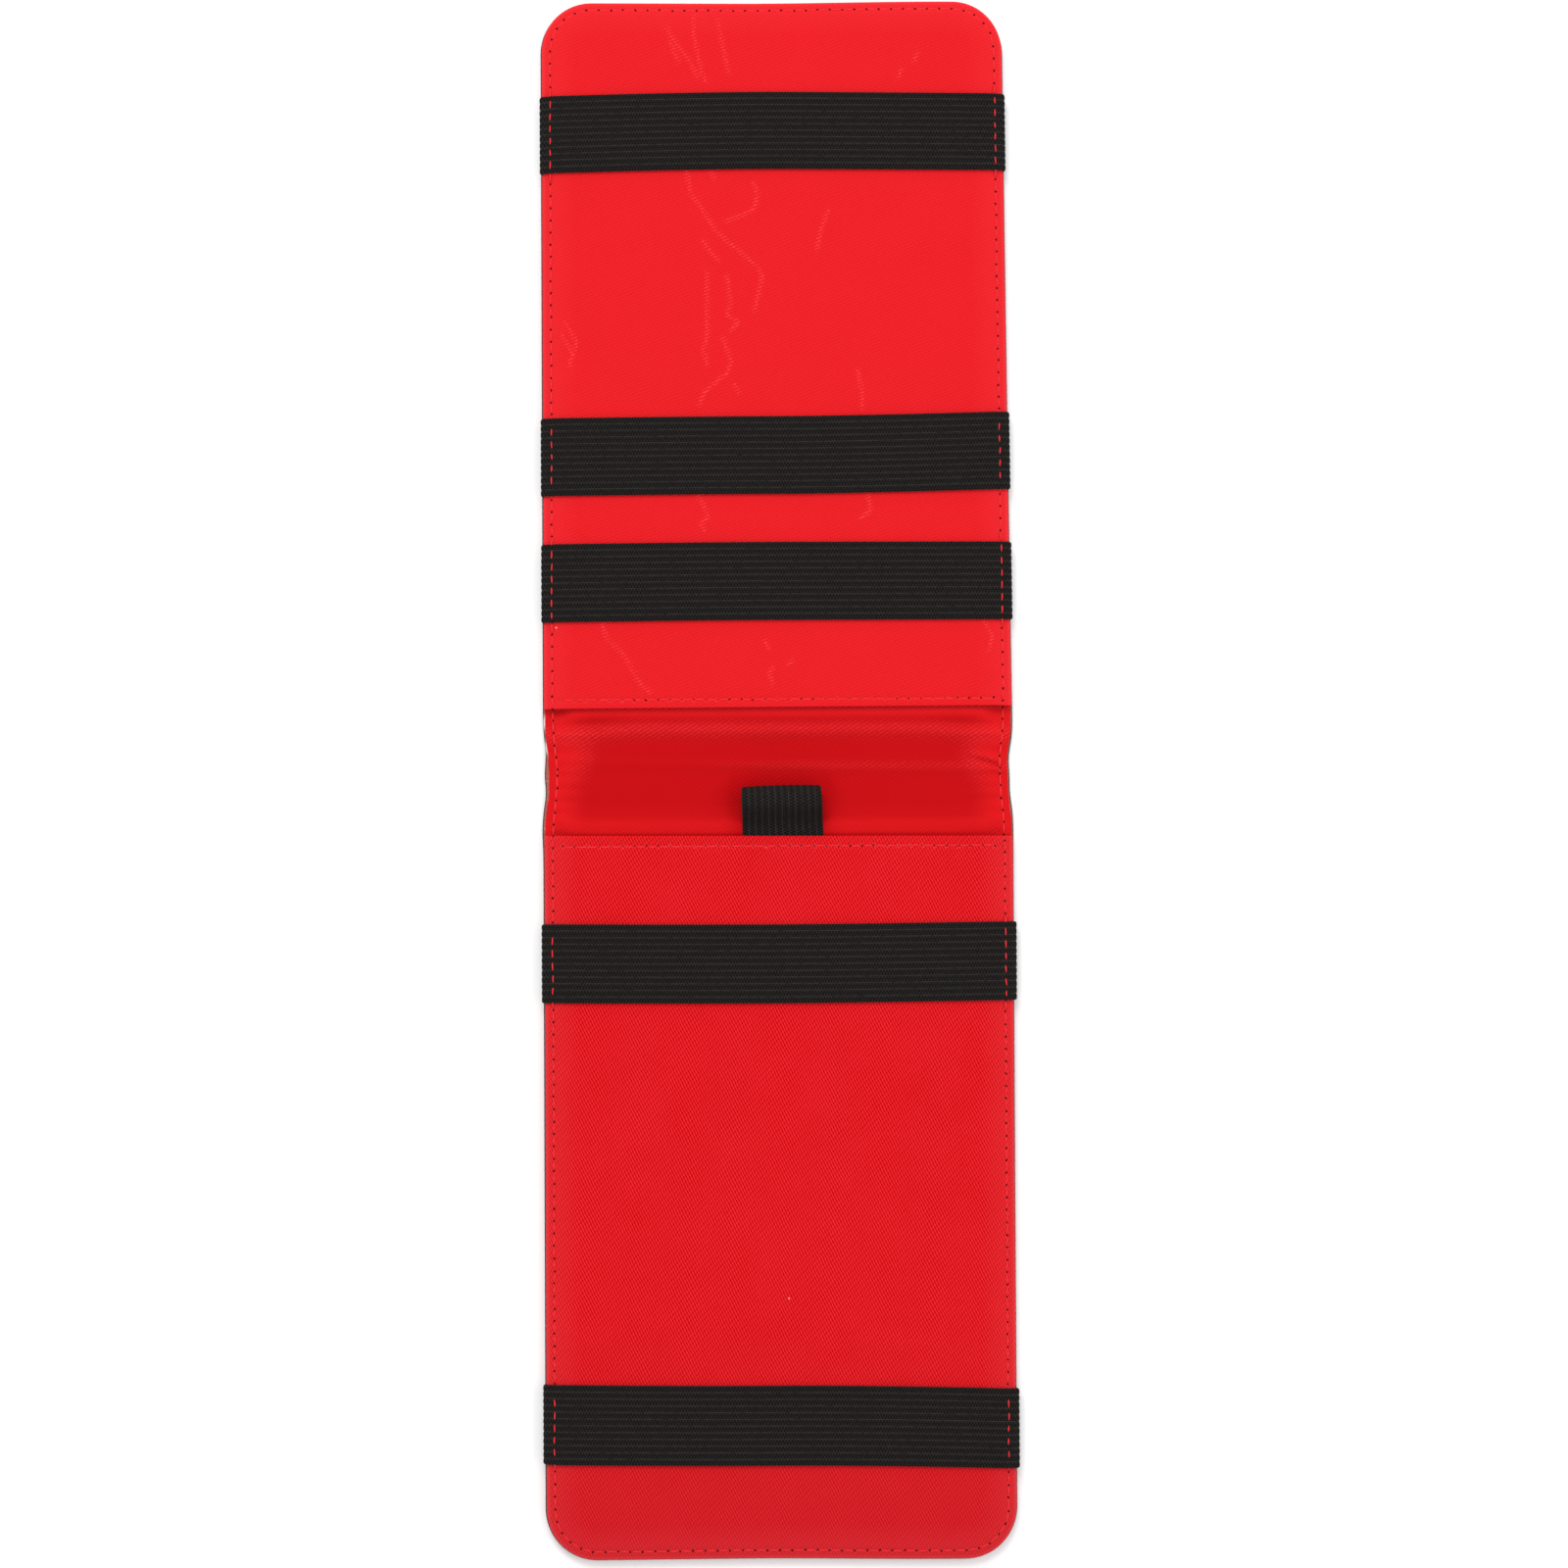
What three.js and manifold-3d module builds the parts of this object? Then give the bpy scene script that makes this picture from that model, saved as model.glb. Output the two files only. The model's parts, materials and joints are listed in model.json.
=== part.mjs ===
import * as THREE from "three";
import { mergeVertices } from "three/addons/utils/BufferGeometryUtils.js";
import Module from "manifold-3d";

// A bifold organizer wallet, opened flat with its lining up. Two stiffened covers are joined by a
// soft spine. Each cover carries a slip pocket whose mouth faces the spine, and elastic bands that
// hold a pad or cards. A pen loop lies in the spine. Millimetres, +X to the right, +Y along the
// open wallet, +Z up, origin under the middle of the spine at the height of the outer skin.

const wasm = await Module();
wasm.setup();

// ---- driving dimensions ----
const coverHalfWidth = 59;
const coverEndY = 196.7;
const cornerRadius = 13;
const mouthY = 16.2; // edge of each pocket panel, next to the spine
const foldY = 15.6; // line on which a cover turns against the spine
const foldGap = 0.4; // slit between the skins of a cover and the spine
const spineDrawIn = 0.7; // how far the soft sides of the spine are pulled in

const skinThickness = 0.9;
const liningThickness = 0.4;
const boardThickness = 1.5;
const pocketGap = 0.3;
const cardThickness = 0.6;
const pocketClothThickness = 0.4;
const elasticThickness = 1.1;
const threadThickness = 0.3;
const threadWidth = 0.5;

const boardInset = 4;
const rimWidth = 3.3; // turned and stitched margin of the pocket cloth
const cardPlay = 0.3; // between the pocket card and that margin
const hemThickness = 0.6; // cloth turned over the card's edge at the mouth
const stitchInset = 2.3;
const hemStitchInset = 2.1;

const elasticWidth = 19.8;
const elasticOverhang = 0.5; // how far a wrapped band stands out past the cover's edge
const bandTailLength = 3.5; // part of a band tucked under the pocket panel
const bandFixedLength = 5.4; // part of a band that the edge stitching holds down
const bandGap = 0.3; // between the free span of a band and its fixed ends
const bandEdgeRadius = 0.8; // where a band turns round the cover's edge

const bands = [
  { name: "upper_end_band", y: 163.3 },
  { name: "upper_middle_band", y: 80.6 },
  { name: "upper_spine_band", y: 48.2 },
  { name: "lower_spine_band", y: -48.2 },
  { name: "lower_end_band", y: -163.3 },
];

const loopTipY = -4;
const loopBackY = -13.1;
const loopRootY = -15;
const loopHeight = 7.3;
const loopTabHeight = 1.3;
const loopOuterRadius = 3.3;
const loopTailLength = 3.6;
const loopTailGap = 0.1; // slit between the loop's tail and the fold
const loopCentreX = 0.8;
const tackInset = 1.5; // the tacking thread stops this far short of the tape's edges
const tackThickness = 0.1;
const threadEndGap = 0.2; // a thread stops this far short of the fold
const spineThreadEndGap = 0.6;
const clearance = 0.05; // between a thread and the cloth edge that it steps over
const overcut = 1; // how far a cutting body reaches past the body that it cuts

// ---- heights of the layers, from the outer skin up ----
const skinTop = skinThickness;
const flatLiningTop = skinTop + liningThickness;
const boardTop = skinTop + boardThickness;
const raisedLiningTop = boardTop + liningThickness;
const cardBottom = raisedLiningTop + pocketGap;
const cardTop = cardBottom + cardThickness;
const pocketTop = cardTop + pocketClothThickness;
const elasticTop = pocketTop + elasticThickness;
const tailTop = flatLiningTop + elasticThickness;

// ---- places in plan that follow from the dimensions ----
const flapY = foldY + foldGap / 2; // edge of a cover's skin and lining at the spine
const cardInset = rimWidth + cardPlay;
const bandOuterX = coverHalfWidth + elasticOverhang;
const bandFixedX = bandOuterX - bandFixedLength;
const pastCover = bandOuterX + overcut;

// ---- finishes ----
function finish(colour, roughness) {
  return { color: new THREE.Color(colour), roughness, metalness: 0 };
}

const lining = finish("#dc1f27", 0.75);
const pocketCloth = finish("#ea2129", 0.7);
const leatherette = finish("#2b2422", 0.4);
const elastic = finish("#252221", 0.9);
const greyBoard = finish("#8d8880", 0.9);
const whiteCard = finish("#d8d4cc", 0.9);
const redThread = finish("#d3202a", 0.6);
const blackThread = finish("#1d1b1a", 0.6);

const model = new THREE.Group();

function addPiece(name, geometry, look) {
  const mesh = new THREE.Mesh(geometry, new THREE.MeshStandardMaterial(look));
  mesh.name = name;
  model.add(mesh);
}

// ---- solids: joining and cutting closed meshes ----
function toSolid(geometry) {
  const bare = geometry.index ? geometry.toNonIndexed() : geometry.clone();
  bare.deleteAttribute("normal");
  bare.deleteAttribute("uv");
  const merged = mergeVertices(bare, 1e-5);
  const mesh = new wasm.Mesh({
    numProp: 3,
    vertProperties: new Float32Array(merged.attributes.position.array),
    triVerts: new Uint32Array(merged.index.array),
  });
  return new wasm.Manifold(mesh);
}

function toGeometry(solid) {
  const mesh = solid.getMesh();
  const geometry = new THREE.BufferGeometry();
  geometry.setAttribute("position", new THREE.BufferAttribute(mesh.vertProperties, 3));
  geometry.setIndex(new THREE.BufferAttribute(mesh.triVerts, 1));
  geometry.computeVertexNormals();
  return geometry;
}

function join(solids) {
  return solids.reduce((whole, solid) => whole.add(solid));
}

// A plan outline raised from one height to another.
function slab(shape, low, high) {
  const geometry = new THREE.ExtrudeGeometry(shape, {
    depth: high - low,
    bevelEnabled: false,
    curveSegments: 8,
  });
  geometry.translate(0, 0, low);
  return toSolid(geometry);
}

function block(lowX, highX, lowY, highY, low, high) {
  const geometry = new THREE.BoxGeometry(highX - lowX, highY - lowY, high - low);
  geometry.translate((lowX + highX) / 2, (lowY + highY) / 2, (low + high) / 2);
  return toSolid(geometry);
}

// A section drawn in the YZ or XZ plane and carried along the third axis, centred on "middle".
function carriedAlongX(section, middle, length) {
  const geometry = new THREE.ExtrudeGeometry(section, {
    depth: length,
    bevelEnabled: false,
    curveSegments: 6,
  });
  geometry.translate(0, 0, -length / 2);
  geometry.applyMatrix4(new THREE.Matrix4().set(0, 0, 1, middle, 1, 0, 0, 0, 0, 1, 0, 0, 0, 0, 0, 1));
  return toSolid(geometry);
}

function carriedAlongY(section, middle, length) {
  const geometry = new THREE.ExtrudeGeometry(section, {
    depth: length,
    bevelEnabled: false,
    curveSegments: 4,
  });
  geometry.translate(0, 0, -length / 2);
  geometry.rotateX(Math.PI / 2);
  geometry.translate(0, middle, 0);
  return toSolid(geometry);
}

// ---- outlines in plan ----
// One cover: square at the spine, its two far corners rounded. side is 1 for upper, -1 for lower.
function coverOutline(side, inset, nearY) {
  const x = coverHalfWidth - inset;
  const farY = coverEndY - inset;
  const radius = cornerRadius - inset;
  const outline = new THREE.Shape();
  const corner = (centreX, from) => {
    const steps = 8;
    for (let i = 0; i <= steps; i += 1) {
      const angle = from + (Math.PI / 2) * (i / steps);
      const cornerX = centreX + radius * Math.cos(angle);
      const cornerY = farY - radius + radius * Math.sin(angle);
      outline.lineTo(cornerX, side * cornerY);
    }
  };
  outline.moveTo(-x, side * nearY);
  outline.lineTo(x, side * nearY);
  corner(x - radius, 0);
  corner(-x + radius, Math.PI / 2);
  outline.closePath();
  return outline;
}

// The soft spine: its two sides curve inwards.
function spineOutline() {
  const endY = foldY - foldGap / 2;
  const outline = new THREE.Shape();
  outline.moveTo(-coverHalfWidth, -endY);
  outline.lineTo(coverHalfWidth, -endY);
  outline.quadraticCurveTo(coverHalfWidth - 2 * spineDrawIn, 0, coverHalfWidth, endY);
  outline.lineTo(-coverHalfWidth, endY);
  outline.quadraticCurveTo(-coverHalfWidth + 2 * spineDrawIn, 0, -coverHalfWidth, -endY);
  return outline;
}

const sideOf = (y) => Math.sign(y);
const bandsOn = (side) => bands.filter((band) => sideOf(band.y) === side);

// ---- the layers of one cover ----
function outerSkin(side) {
  return slab(coverOutline(side, 0, flapY), 0, skinTop);
}

function stiffenerBoard(side) {
  return slab(coverOutline(side, boardInset, mouthY + boardInset), skinTop, boardTop);
}

// The base lining lies on the skin and is raised over the board.
function baseLining(side) {
  const hatInset = boardInset - liningThickness;
  const flat = slab(coverOutline(side, 0, flapY), skinTop, flatLiningTop);
  const hat = slab(coverOutline(side, hatInset, mouthY + hatInset), skinTop, raisedLiningTop);
  return flat.add(hat).subtract(stiffenerBoard(side));
}

function pocketCard(side) {
  return slab(coverOutline(side, cardInset, mouthY + hemThickness), cardBottom, cardTop);
}

// The pocket cloth covers the card, turns down at its three sewn edges and over the card's edge at
// the mouth. The wrapped ends of the bands sit in notches of the sewn margin.
function pocketClothPanel(side) {
  const whole = slab(coverOutline(side, 0, mouthY), flatLiningTop, pocketTop);
  const insideOutline = coverOutline(side, rimWidth, mouthY - overcut);
  const inside = slab(insideOutline, flatLiningTop - overcut, cardTop);
  const hemX = coverHalfWidth - rimWidth;
  const hemY = [side * mouthY, side * (mouthY + hemThickness)].sort((a, b) => a - b);
  const hem = block(-hemX, hemX, hemY[0], hemY[1], cardBottom, cardTop);
  let cloth = whole.subtract(inside).add(hem);
  for (const band of bandsOn(side)) {
    const low = band.y - elasticWidth / 2;
    const high = band.y + elasticWidth / 2;
    for (const hand of [-1, 1]) {
      const wrap = [hand * (bandOuterX - elasticThickness), hand * pastCover];
      const tuck = [hand * (coverHalfWidth - rimWidth - overcut), hand * pastCover];
      wrap.sort((a, b) => a - b);
      tuck.sort((a, b) => a - b);
      cloth = cloth.subtract(block(wrap[0], wrap[1], low, high, 0, pocketTop + overcut));
      cloth = cloth.subtract(block(tuck[0], tuck[1], low, high, 0, tailTop));
    }
  }
  return cloth;
}

// ---- elastic bands ----
function bandSpan(band) {
  const x = bandFixedX - bandGap;
  const half = elasticWidth / 2;
  return block(-x, x, band.y - half, band.y + half, pocketTop, elasticTop);
}

// Section of a band's end: over the pocket panel, round its edge and a short way under it.
function bandEndSection(hand) {
  const round = bandEdgeRadius;
  const inner = bandOuterX - elasticThickness;
  const tailX = bandOuterX - bandTailLength;
  const section = new THREE.Shape();
  section.moveTo(hand * bandFixedX, pocketTop);
  section.lineTo(hand * inner, pocketTop);
  section.lineTo(hand * inner, tailTop);
  section.lineTo(hand * tailX, tailTop);
  section.lineTo(hand * tailX, flatLiningTop);
  section.lineTo(hand * (bandOuterX - round), flatLiningTop);
  section.quadraticCurveTo(hand * bandOuterX, flatLiningTop, hand * bandOuterX, flatLiningTop + round);
  section.lineTo(hand * bandOuterX, elasticTop - round);
  section.quadraticCurveTo(hand * bandOuterX, elasticTop, hand * (bandOuterX - round), elasticTop);
  section.lineTo(hand * bandFixedX, elasticTop);
  section.closePath();
  return section;
}

function bandEnd(band, hand) {
  return carriedAlongY(bandEndSection(hand), band.y, elasticWidth);
}

// ---- sewing threads ----
// A ribbon of thread along the cover's outline, on three sides of it.
function outlineRibbon(side, low, high) {
  const half = threadWidth / 2;
  const outer = slab(coverOutline(side, stitchInset - half, flapY + threadEndGap), low, high);
  const innerOutline = coverOutline(side, stitchInset + half, flapY - overcut);
  return outer.subtract(slab(innerOutline, low - overcut, high + overcut));
}

function onlyBetween(solid, fromY, toY) {
  const lowY = Math.min(fromY, toY);
  const highY = Math.max(fromY, toY);
  const top = elasticTop + threadThickness + overcut;
  return solid.intersect(block(-pastCover, pastCover, lowY, highY, 0, top));
}

// It runs on the pocket cloth, over each band, and steps down to the lining at the pocket's mouth.
function perimeterThread(side) {
  const stepY = side * (mouthY - clearance);
  const endY = side * (coverEndY + overcut);
  const flapEnd = side * (flapY - overcut);
  const parts = [
    onlyBetween(outlineRibbon(side, pocketTop, pocketTop + threadThickness), stepY, endY),
    onlyBetween(outlineRibbon(side, flatLiningTop, pocketTop + threadThickness), flapEnd, stepY),
  ];
  for (const band of bandsOn(side)) {
    const half = elasticWidth / 2 + clearance + threadThickness;
    const arch = outlineRibbon(side, pocketTop, elasticTop + threadThickness);
    parts.push(onlyBetween(arch, band.y - half, band.y + half));
  }
  let thread = join(parts);
  for (const band of bandsOn(side)) {
    const half = elasticWidth / 2 + clearance;
    const lowY = band.y - half;
    const highY = band.y + half;
    const under = block(-pastCover, pastCover, lowY, highY, pocketTop - overcut, elasticTop);
    thread = thread.subtract(under);
  }
  return thread;
}

function hemThread(side) {
  const x = coverHalfWidth - stitchInset - 2 * threadWidth;
  const y = side * (mouthY + hemStitchInset);
  const half = threadWidth / 2;
  return block(-x, x, y - half, y + half, pocketTop, pocketTop + threadThickness);
}

// ---- spine ----
function spineThread(hand) {
  const endY = foldY - spineThreadEndGap;
  const half = threadWidth / 2;
  const x = coverHalfWidth - stitchInset;
  const bend = x - 2 * spineDrawIn;
  const line = new THREE.Shape();
  line.moveTo(hand * (x - half), -endY);
  line.quadraticCurveTo(hand * (bend - half), 0, hand * (x - half), endY);
  line.lineTo(hand * (x + half), endY);
  line.quadraticCurveTo(hand * (bend + half), 0, hand * (x + half), -endY);
  line.closePath();
  return slab(line, flatLiningTop, flatLiningTop + threadThickness);
}

// ---- pen loop: a folded tape whose hole runs along the spine ----
function penLoop() {
  const bottom = flatLiningTop;
  const top = bottom + loopHeight;
  const round = loopOuterRadius;
  const section = new THREE.Shape();
  section.moveTo(loopRootY, bottom);
  section.lineTo(loopTipY - round, bottom);
  section.absarc(loopTipY - round, bottom + round, round, -Math.PI / 2, 0, false);
  section.absarc(loopTipY - round, top - round, round, 0, Math.PI / 2, false);
  section.absarc(loopBackY + round, top - round, round, Math.PI / 2, Math.PI, false);
  section.lineTo(loopBackY, bottom + loopTabHeight);
  section.lineTo(loopRootY, bottom + loopTabHeight);
  section.closePath();
  const wall = elasticThickness;
  const bore = round - wall;
  const left = loopBackY + wall;
  const right = loopTipY - wall;
  const hole = new THREE.Path();
  hole.absarc(right - bore, bottom + wall + bore, bore, -Math.PI / 2, 0, false);
  hole.absarc(right - bore, top - wall - bore, bore, 0, Math.PI / 2, false);
  hole.absarc(left + bore, top - wall - bore, bore, Math.PI / 2, Math.PI, false);
  hole.absarc(left + bore, bottom + wall + bore, bore, Math.PI, 1.5 * Math.PI, false);
  hole.closePath();
  section.holes.push(hole);
  return carriedAlongX(section, loopCentreX, elasticWidth);
}

function penLoopTail() {
  const half = elasticWidth / 2;
  const top = flatLiningTop + loopTabHeight;
  const farY = -flapY - loopTailLength;
  const nearY = -flapY - loopTailGap;
  return block(loopCentreX - half, loopCentreX + half, farY, nearY, flatLiningTop, top);
}

function penLoopTack() {
  const lowX = loopCentreX - elasticWidth / 2 + tackInset;
  const highX = loopCentreX + elasticWidth / 2 - tackInset;
  const low = flatLiningTop + loopTabHeight;
  const y = (loopBackY + loopRootY) / 2;
  const half = threadWidth / 2;
  return block(lowX, highX, y - half, y + half, low, low + tackThickness);
}

// ---- assembly ----
for (const [word, side] of [["lower", -1], ["upper", 1]]) {
  addPiece(`${word}_outer_skin`, toGeometry(outerSkin(side)), leatherette);
  addPiece(`${word}_stiffener_board`, toGeometry(stiffenerBoard(side)), greyBoard);
  addPiece(`${word}_base_lining`, toGeometry(baseLining(side)), lining);
  addPiece(`${word}_pocket_card`, toGeometry(pocketCard(side)), whiteCard);
  addPiece(`${word}_pocket_cloth`, toGeometry(pocketClothPanel(side)), pocketCloth);
  addPiece(`${word}_perimeter_thread`, toGeometry(perimeterThread(side)), redThread);
  addPiece(`${word}_hem_thread`, toGeometry(hemThread(side)), redThread);
}

for (const band of bands) {
  addPiece(`${band.name}_span`, toGeometry(bandSpan(band)), elastic);
  addPiece(`${band.name}_left_end`, toGeometry(bandEnd(band, -1)), elastic);
  addPiece(`${band.name}_right_end`, toGeometry(bandEnd(band, 1)), elastic);
}

addPiece("spine_outer_skin", toGeometry(slab(spineOutline(), 0, skinTop)), leatherette);
addPiece("spine_lining", toGeometry(slab(spineOutline(), skinTop, flatLiningTop)), lining);
addPiece("spine_left_thread", toGeometry(spineThread(-1)), redThread);
addPiece("spine_right_thread", toGeometry(spineThread(1)), redThread);
addPiece("pen_loop", toGeometry(penLoop()), elastic);
addPiece("pen_loop_tail", toGeometry(penLoopTail()), elastic);
addPiece("pen_loop_tack", toGeometry(penLoopTack()), blackThread);

export default model;
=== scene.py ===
import json
import math

import bpy
import numpy as np
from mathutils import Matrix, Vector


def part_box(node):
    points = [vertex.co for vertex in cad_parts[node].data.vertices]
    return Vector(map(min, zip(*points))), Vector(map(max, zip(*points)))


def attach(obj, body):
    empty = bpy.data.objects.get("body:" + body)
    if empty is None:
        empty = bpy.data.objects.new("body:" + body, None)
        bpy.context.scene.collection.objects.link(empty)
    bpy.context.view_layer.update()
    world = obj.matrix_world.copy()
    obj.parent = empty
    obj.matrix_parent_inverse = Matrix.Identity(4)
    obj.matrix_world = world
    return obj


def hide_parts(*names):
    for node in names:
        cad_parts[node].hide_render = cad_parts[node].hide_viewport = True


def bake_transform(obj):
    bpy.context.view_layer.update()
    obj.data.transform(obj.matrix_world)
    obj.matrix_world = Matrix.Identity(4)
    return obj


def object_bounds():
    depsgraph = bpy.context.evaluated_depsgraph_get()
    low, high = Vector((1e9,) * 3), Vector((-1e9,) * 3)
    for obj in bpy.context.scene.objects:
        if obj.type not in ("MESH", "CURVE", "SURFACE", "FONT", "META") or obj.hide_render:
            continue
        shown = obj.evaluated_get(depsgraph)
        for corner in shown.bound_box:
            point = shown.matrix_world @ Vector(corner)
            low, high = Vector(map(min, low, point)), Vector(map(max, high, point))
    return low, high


# A bifold organizer wallet, opened flat with its red lining up. Lengths are in millimetres here
# and turned into metres when a mesh is made.

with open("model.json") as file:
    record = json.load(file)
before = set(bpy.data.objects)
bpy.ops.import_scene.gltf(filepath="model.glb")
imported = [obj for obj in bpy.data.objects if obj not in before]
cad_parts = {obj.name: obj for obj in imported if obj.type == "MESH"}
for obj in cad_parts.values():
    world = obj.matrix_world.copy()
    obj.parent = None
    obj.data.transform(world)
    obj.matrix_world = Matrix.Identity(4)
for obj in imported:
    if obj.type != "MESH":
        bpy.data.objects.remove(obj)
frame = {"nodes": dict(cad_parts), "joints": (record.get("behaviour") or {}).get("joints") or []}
cadLow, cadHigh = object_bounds()
mm = 0.001
rng = np.random.default_rng(7)


def spanOf(node):
    low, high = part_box(node)
    return np.array(low) / mm, np.array(high) / mm


skinHigh = spanOf("upper_outer_skin")[1]
clothLow, clothHigh = spanOf("upper_pocket_cloth")
liningHigh = spanOf("spine_lining")[1]
hatHigh = spanOf("upper_base_lining")[1]
cardHigh = spanOf("upper_pocket_card")[1]
loopLow, loopHigh = spanOf("pen_loop")
foldY = frame["joints"][1]["pos_m"][1] / mm

cover = {
    "halfWidth": skinHigh[0],
    "farY": skinHigh[1],
    "mouthY": clothLow[1],
    "corner": 13.0,
    "clothInset": 0.35,  # the red cloth stops this far inside the cut edge of the skin
    "skinTop": skinHigh[2],
    "flatLining": liningHigh[2],
    "raisedLining": hatHigh[2],
    "cardTop": cardHigh[2],
    "clothTop": clothHigh[2],
    "edgeDrop": 0.85,  # how far the sewn edge is pinched down
    "edgeRound": 0.6,  # radius of the cloth's turned edge
    "upperMouthRound": 0.28,  # and of its roll at the two mouths
    "lowerMouthRound": 0.5,
    "waviness": 0.05,
    "creaseHeight": 0.05,
    "spread": 0.8,  # how far the worn covers spread to the right, beside the spine
    "cornerReach": 0.7,  # how much further out the right-hand end corners reach
}
sewing = {
    "inset": 2.45,
    "pitch": 3.1,
    "lowerHemInset": 2.65,
    "upperHemInset": 2.0,
    "hemPitch": 3.0,
    "threadRadius": 0.27,
    "groove": 0.16,
}
tape = {
    "width": 19.8,
    "ribs": 12,
    "thickness": 1.0,
    "ribDepth": 0.16,
    "overhang": cadHigh[0] / mm - skinHigh[0],
    "upperTighter": 0.2,  # the upper cover's bands stand out less than the lower cover's
    "liftFrom": 53.5,  # a band's free span starts lifting here
    "liftFull": 20.0,
}
# how far each band's left end, middle and right end sit from its true line
bandShifts = {
    "upper_end_band": (-1.35, -0.05, -0.3),
    "upper_middle_band": (-0.95, -0.45, 0.75),
    "upper_spine_band": (-0.55, -0.05, -0.05),
    "lower_spine_band": (0.15, -0.25, 0.2),
    "lower_end_band": (0.65, -0.15, -1.5),
}


def bandPlace(name):
    low, high = spanOf(name + "_span")
    left, middle, right = bandShifts[name]
    place = (low[1] + high[1]) / 2 + middle
    return {"name": name, "y": place, "left": left - middle, "right": right - middle}


bands = [bandPlace(name) for name in bandShifts]


def smoothStep(value, low, high):
    # 0 below low, 1 above high, an S curve of 3t^2 - 2t^3 between
    t = np.clip((value - low) / (high - low), 0, 1)
    return t * t * (3 - 2 * t)


def bell(value, centre, width):
    return np.exp(-(((value - centre) / width) ** 2))


def bandMiddle(band, x):
    # the band's mid line, leaving its straight line by |x| to the power 1.5 towards each end
    shift = np.where(x < 0, band["left"], band["right"])
    return band["y"] + shift * (np.abs(x) / cover["halfWidth"]) ** 1.5


def asWorn(points):
    # The wallet isn't quite true. It spreads to the right, most beside the spine, and its two
    # right-hand end corners reach further out.
    x, y, z = points.T
    right = np.clip(x / cover["halfWidth"], 0, 1)
    away = np.clip((np.abs(y) - cover["mouthY"]) / 180, 0, 1)
    corner = smoothStep(np.abs(y), 172, cover["farY"]) * smoothStep(x, -10, 45)
    x = x + cover["spread"] * right * (1 - away) ** 1.3
    return np.stack([x, y + np.sign(y) * cover["cornerReach"] * corner, z], axis=-1)


def makeMesh(name, points, quads, material, attributes=None):
    # points in millimetres, quads as rows of four vertex numbers, and one value per vertex for
    # each attribute: a number, or a place of three numbers
    points = asWorn(points)
    mesh = bpy.data.meshes.new(name)
    mesh.vertices.add(len(points))
    mesh.vertices.foreach_set("co", (points * mm).astype(np.float32).ravel())
    mesh.loops.add(quads.size)
    mesh.loops.foreach_set("vertex_index", quads.astype(np.int32).ravel())
    mesh.polygons.add(len(quads))
    mesh.polygons.foreach_set("loop_start", np.arange(0, quads.size, 4, dtype=np.int32))
    mesh.update(calc_edges=True)
    mesh.shade_smooth()
    for key, values in (attributes or {}).items():
        values = np.asarray(values, np.float32)
        if values.ndim == 1:
            layer = mesh.attributes.new(key, "FLOAT", "POINT")
            layer.data.foreach_set("value", values)
        else:
            layer = mesh.attributes.new(key, "FLOAT_VECTOR", "POINT")
            layer.data.foreach_set("vector", values.ravel())
    mesh.materials.append(material)
    made = bpy.data.objects.new(name, mesh)
    bpy.context.scene.collection.objects.link(made)
    return made


def gridQuads(rows, columns, closeRows=False, closeColumns=False):
    # quads of a grid of vertices numbered row by row; a closed grid also joins last to first
    r = np.arange(rows if closeRows else rows - 1)
    c = np.arange(columns if closeColumns else columns - 1)
    r, c = np.meshgrid(r, c, indexing="ij")
    r2 = (r + 1) % rows
    c2 = (c + 1) % columns
    corners = [r * columns + c, r * columns + c2, r2 * columns + c2, r2 * columns + c]
    return np.stack(corners, axis=-1).reshape(-1, 4)


topOnly = ("wearAndHighlight", "backingAndReflection")  # attributes that are 0 on a sheet's underside


def twoFacedSheet(name, x, y, top, bottom, material, attributes=None):
    # A closed sheet: one grid seen from above at height top, the same grid below at height
    # bottom, and a wall of quads round the rim.
    rows, columns = x.shape
    count = rows * columns
    upper = np.stack([x, y, top], axis=-1).reshape(-1, 3)
    under = np.stack([x, y, bottom], axis=-1).reshape(-1, 3)
    quads = gridQuads(rows, columns)
    number = np.arange(count).reshape(rows, columns)
    rim = np.concatenate([number[0, :-1], number[:-1, -1], number[-1, :0:-1], number[:0:-1, 0]])
    after = np.roll(rim, -1)
    wall = np.stack([rim, rim + count, after + count, after], axis=-1)
    faces = np.concatenate([quads, quads[:, ::-1] + count, wall])
    along = (x[0, -1] - x[0, 0]) * (y[-1, 0] - y[0, 0])
    if along < 0:
        faces = faces[:, ::-1]
    doubled = {}
    for key, values in (attributes or {}).items():
        flat = values.reshape(count, -1).squeeze()
        doubled[key] = np.concatenate([flat, flat * 0 if key in topOnly else flat])
    return makeMesh(name, np.concatenate([upper, under]), faces, material, doubled)


def quarterRound(radius, share):
    # how far a rounded edge has dropped, by the circle's own height: the full radius where share
    # is 0, and nothing where it is 1
    return radius * (1 - np.sqrt(np.clip(1 - (1 - share) ** 2, 0, 1)))


def spacedFromEdges(low, high, step, depth=5.3, count=22, highEdge=True):
    # places from low to high, closer together towards an edge: depth times t to the power 1.5
    near = depth * (np.arange(count + 1) / count) ** 1.5
    first = low + near
    last = high - near[::-1] if highEdge else np.array([high])
    number = max(2, int(round((last[0] - first[-1]) / step)))
    middle = np.linspace(first[-1], last[0], number + 1)[1:-1]
    return np.concatenate([first, middle, last])


def halfWidthAt(y, inset):
    # half the cover's width at a distance y from the middle of the spine: straight, then the
    # arc of the rounded corner
    radius = cover["corner"] - inset
    past = np.clip(y - (cover["farY"] - cover["corner"]), 0, radius)
    return cover["halfWidth"] - inset - radius + np.sqrt(radius**2 - past**2)


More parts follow.
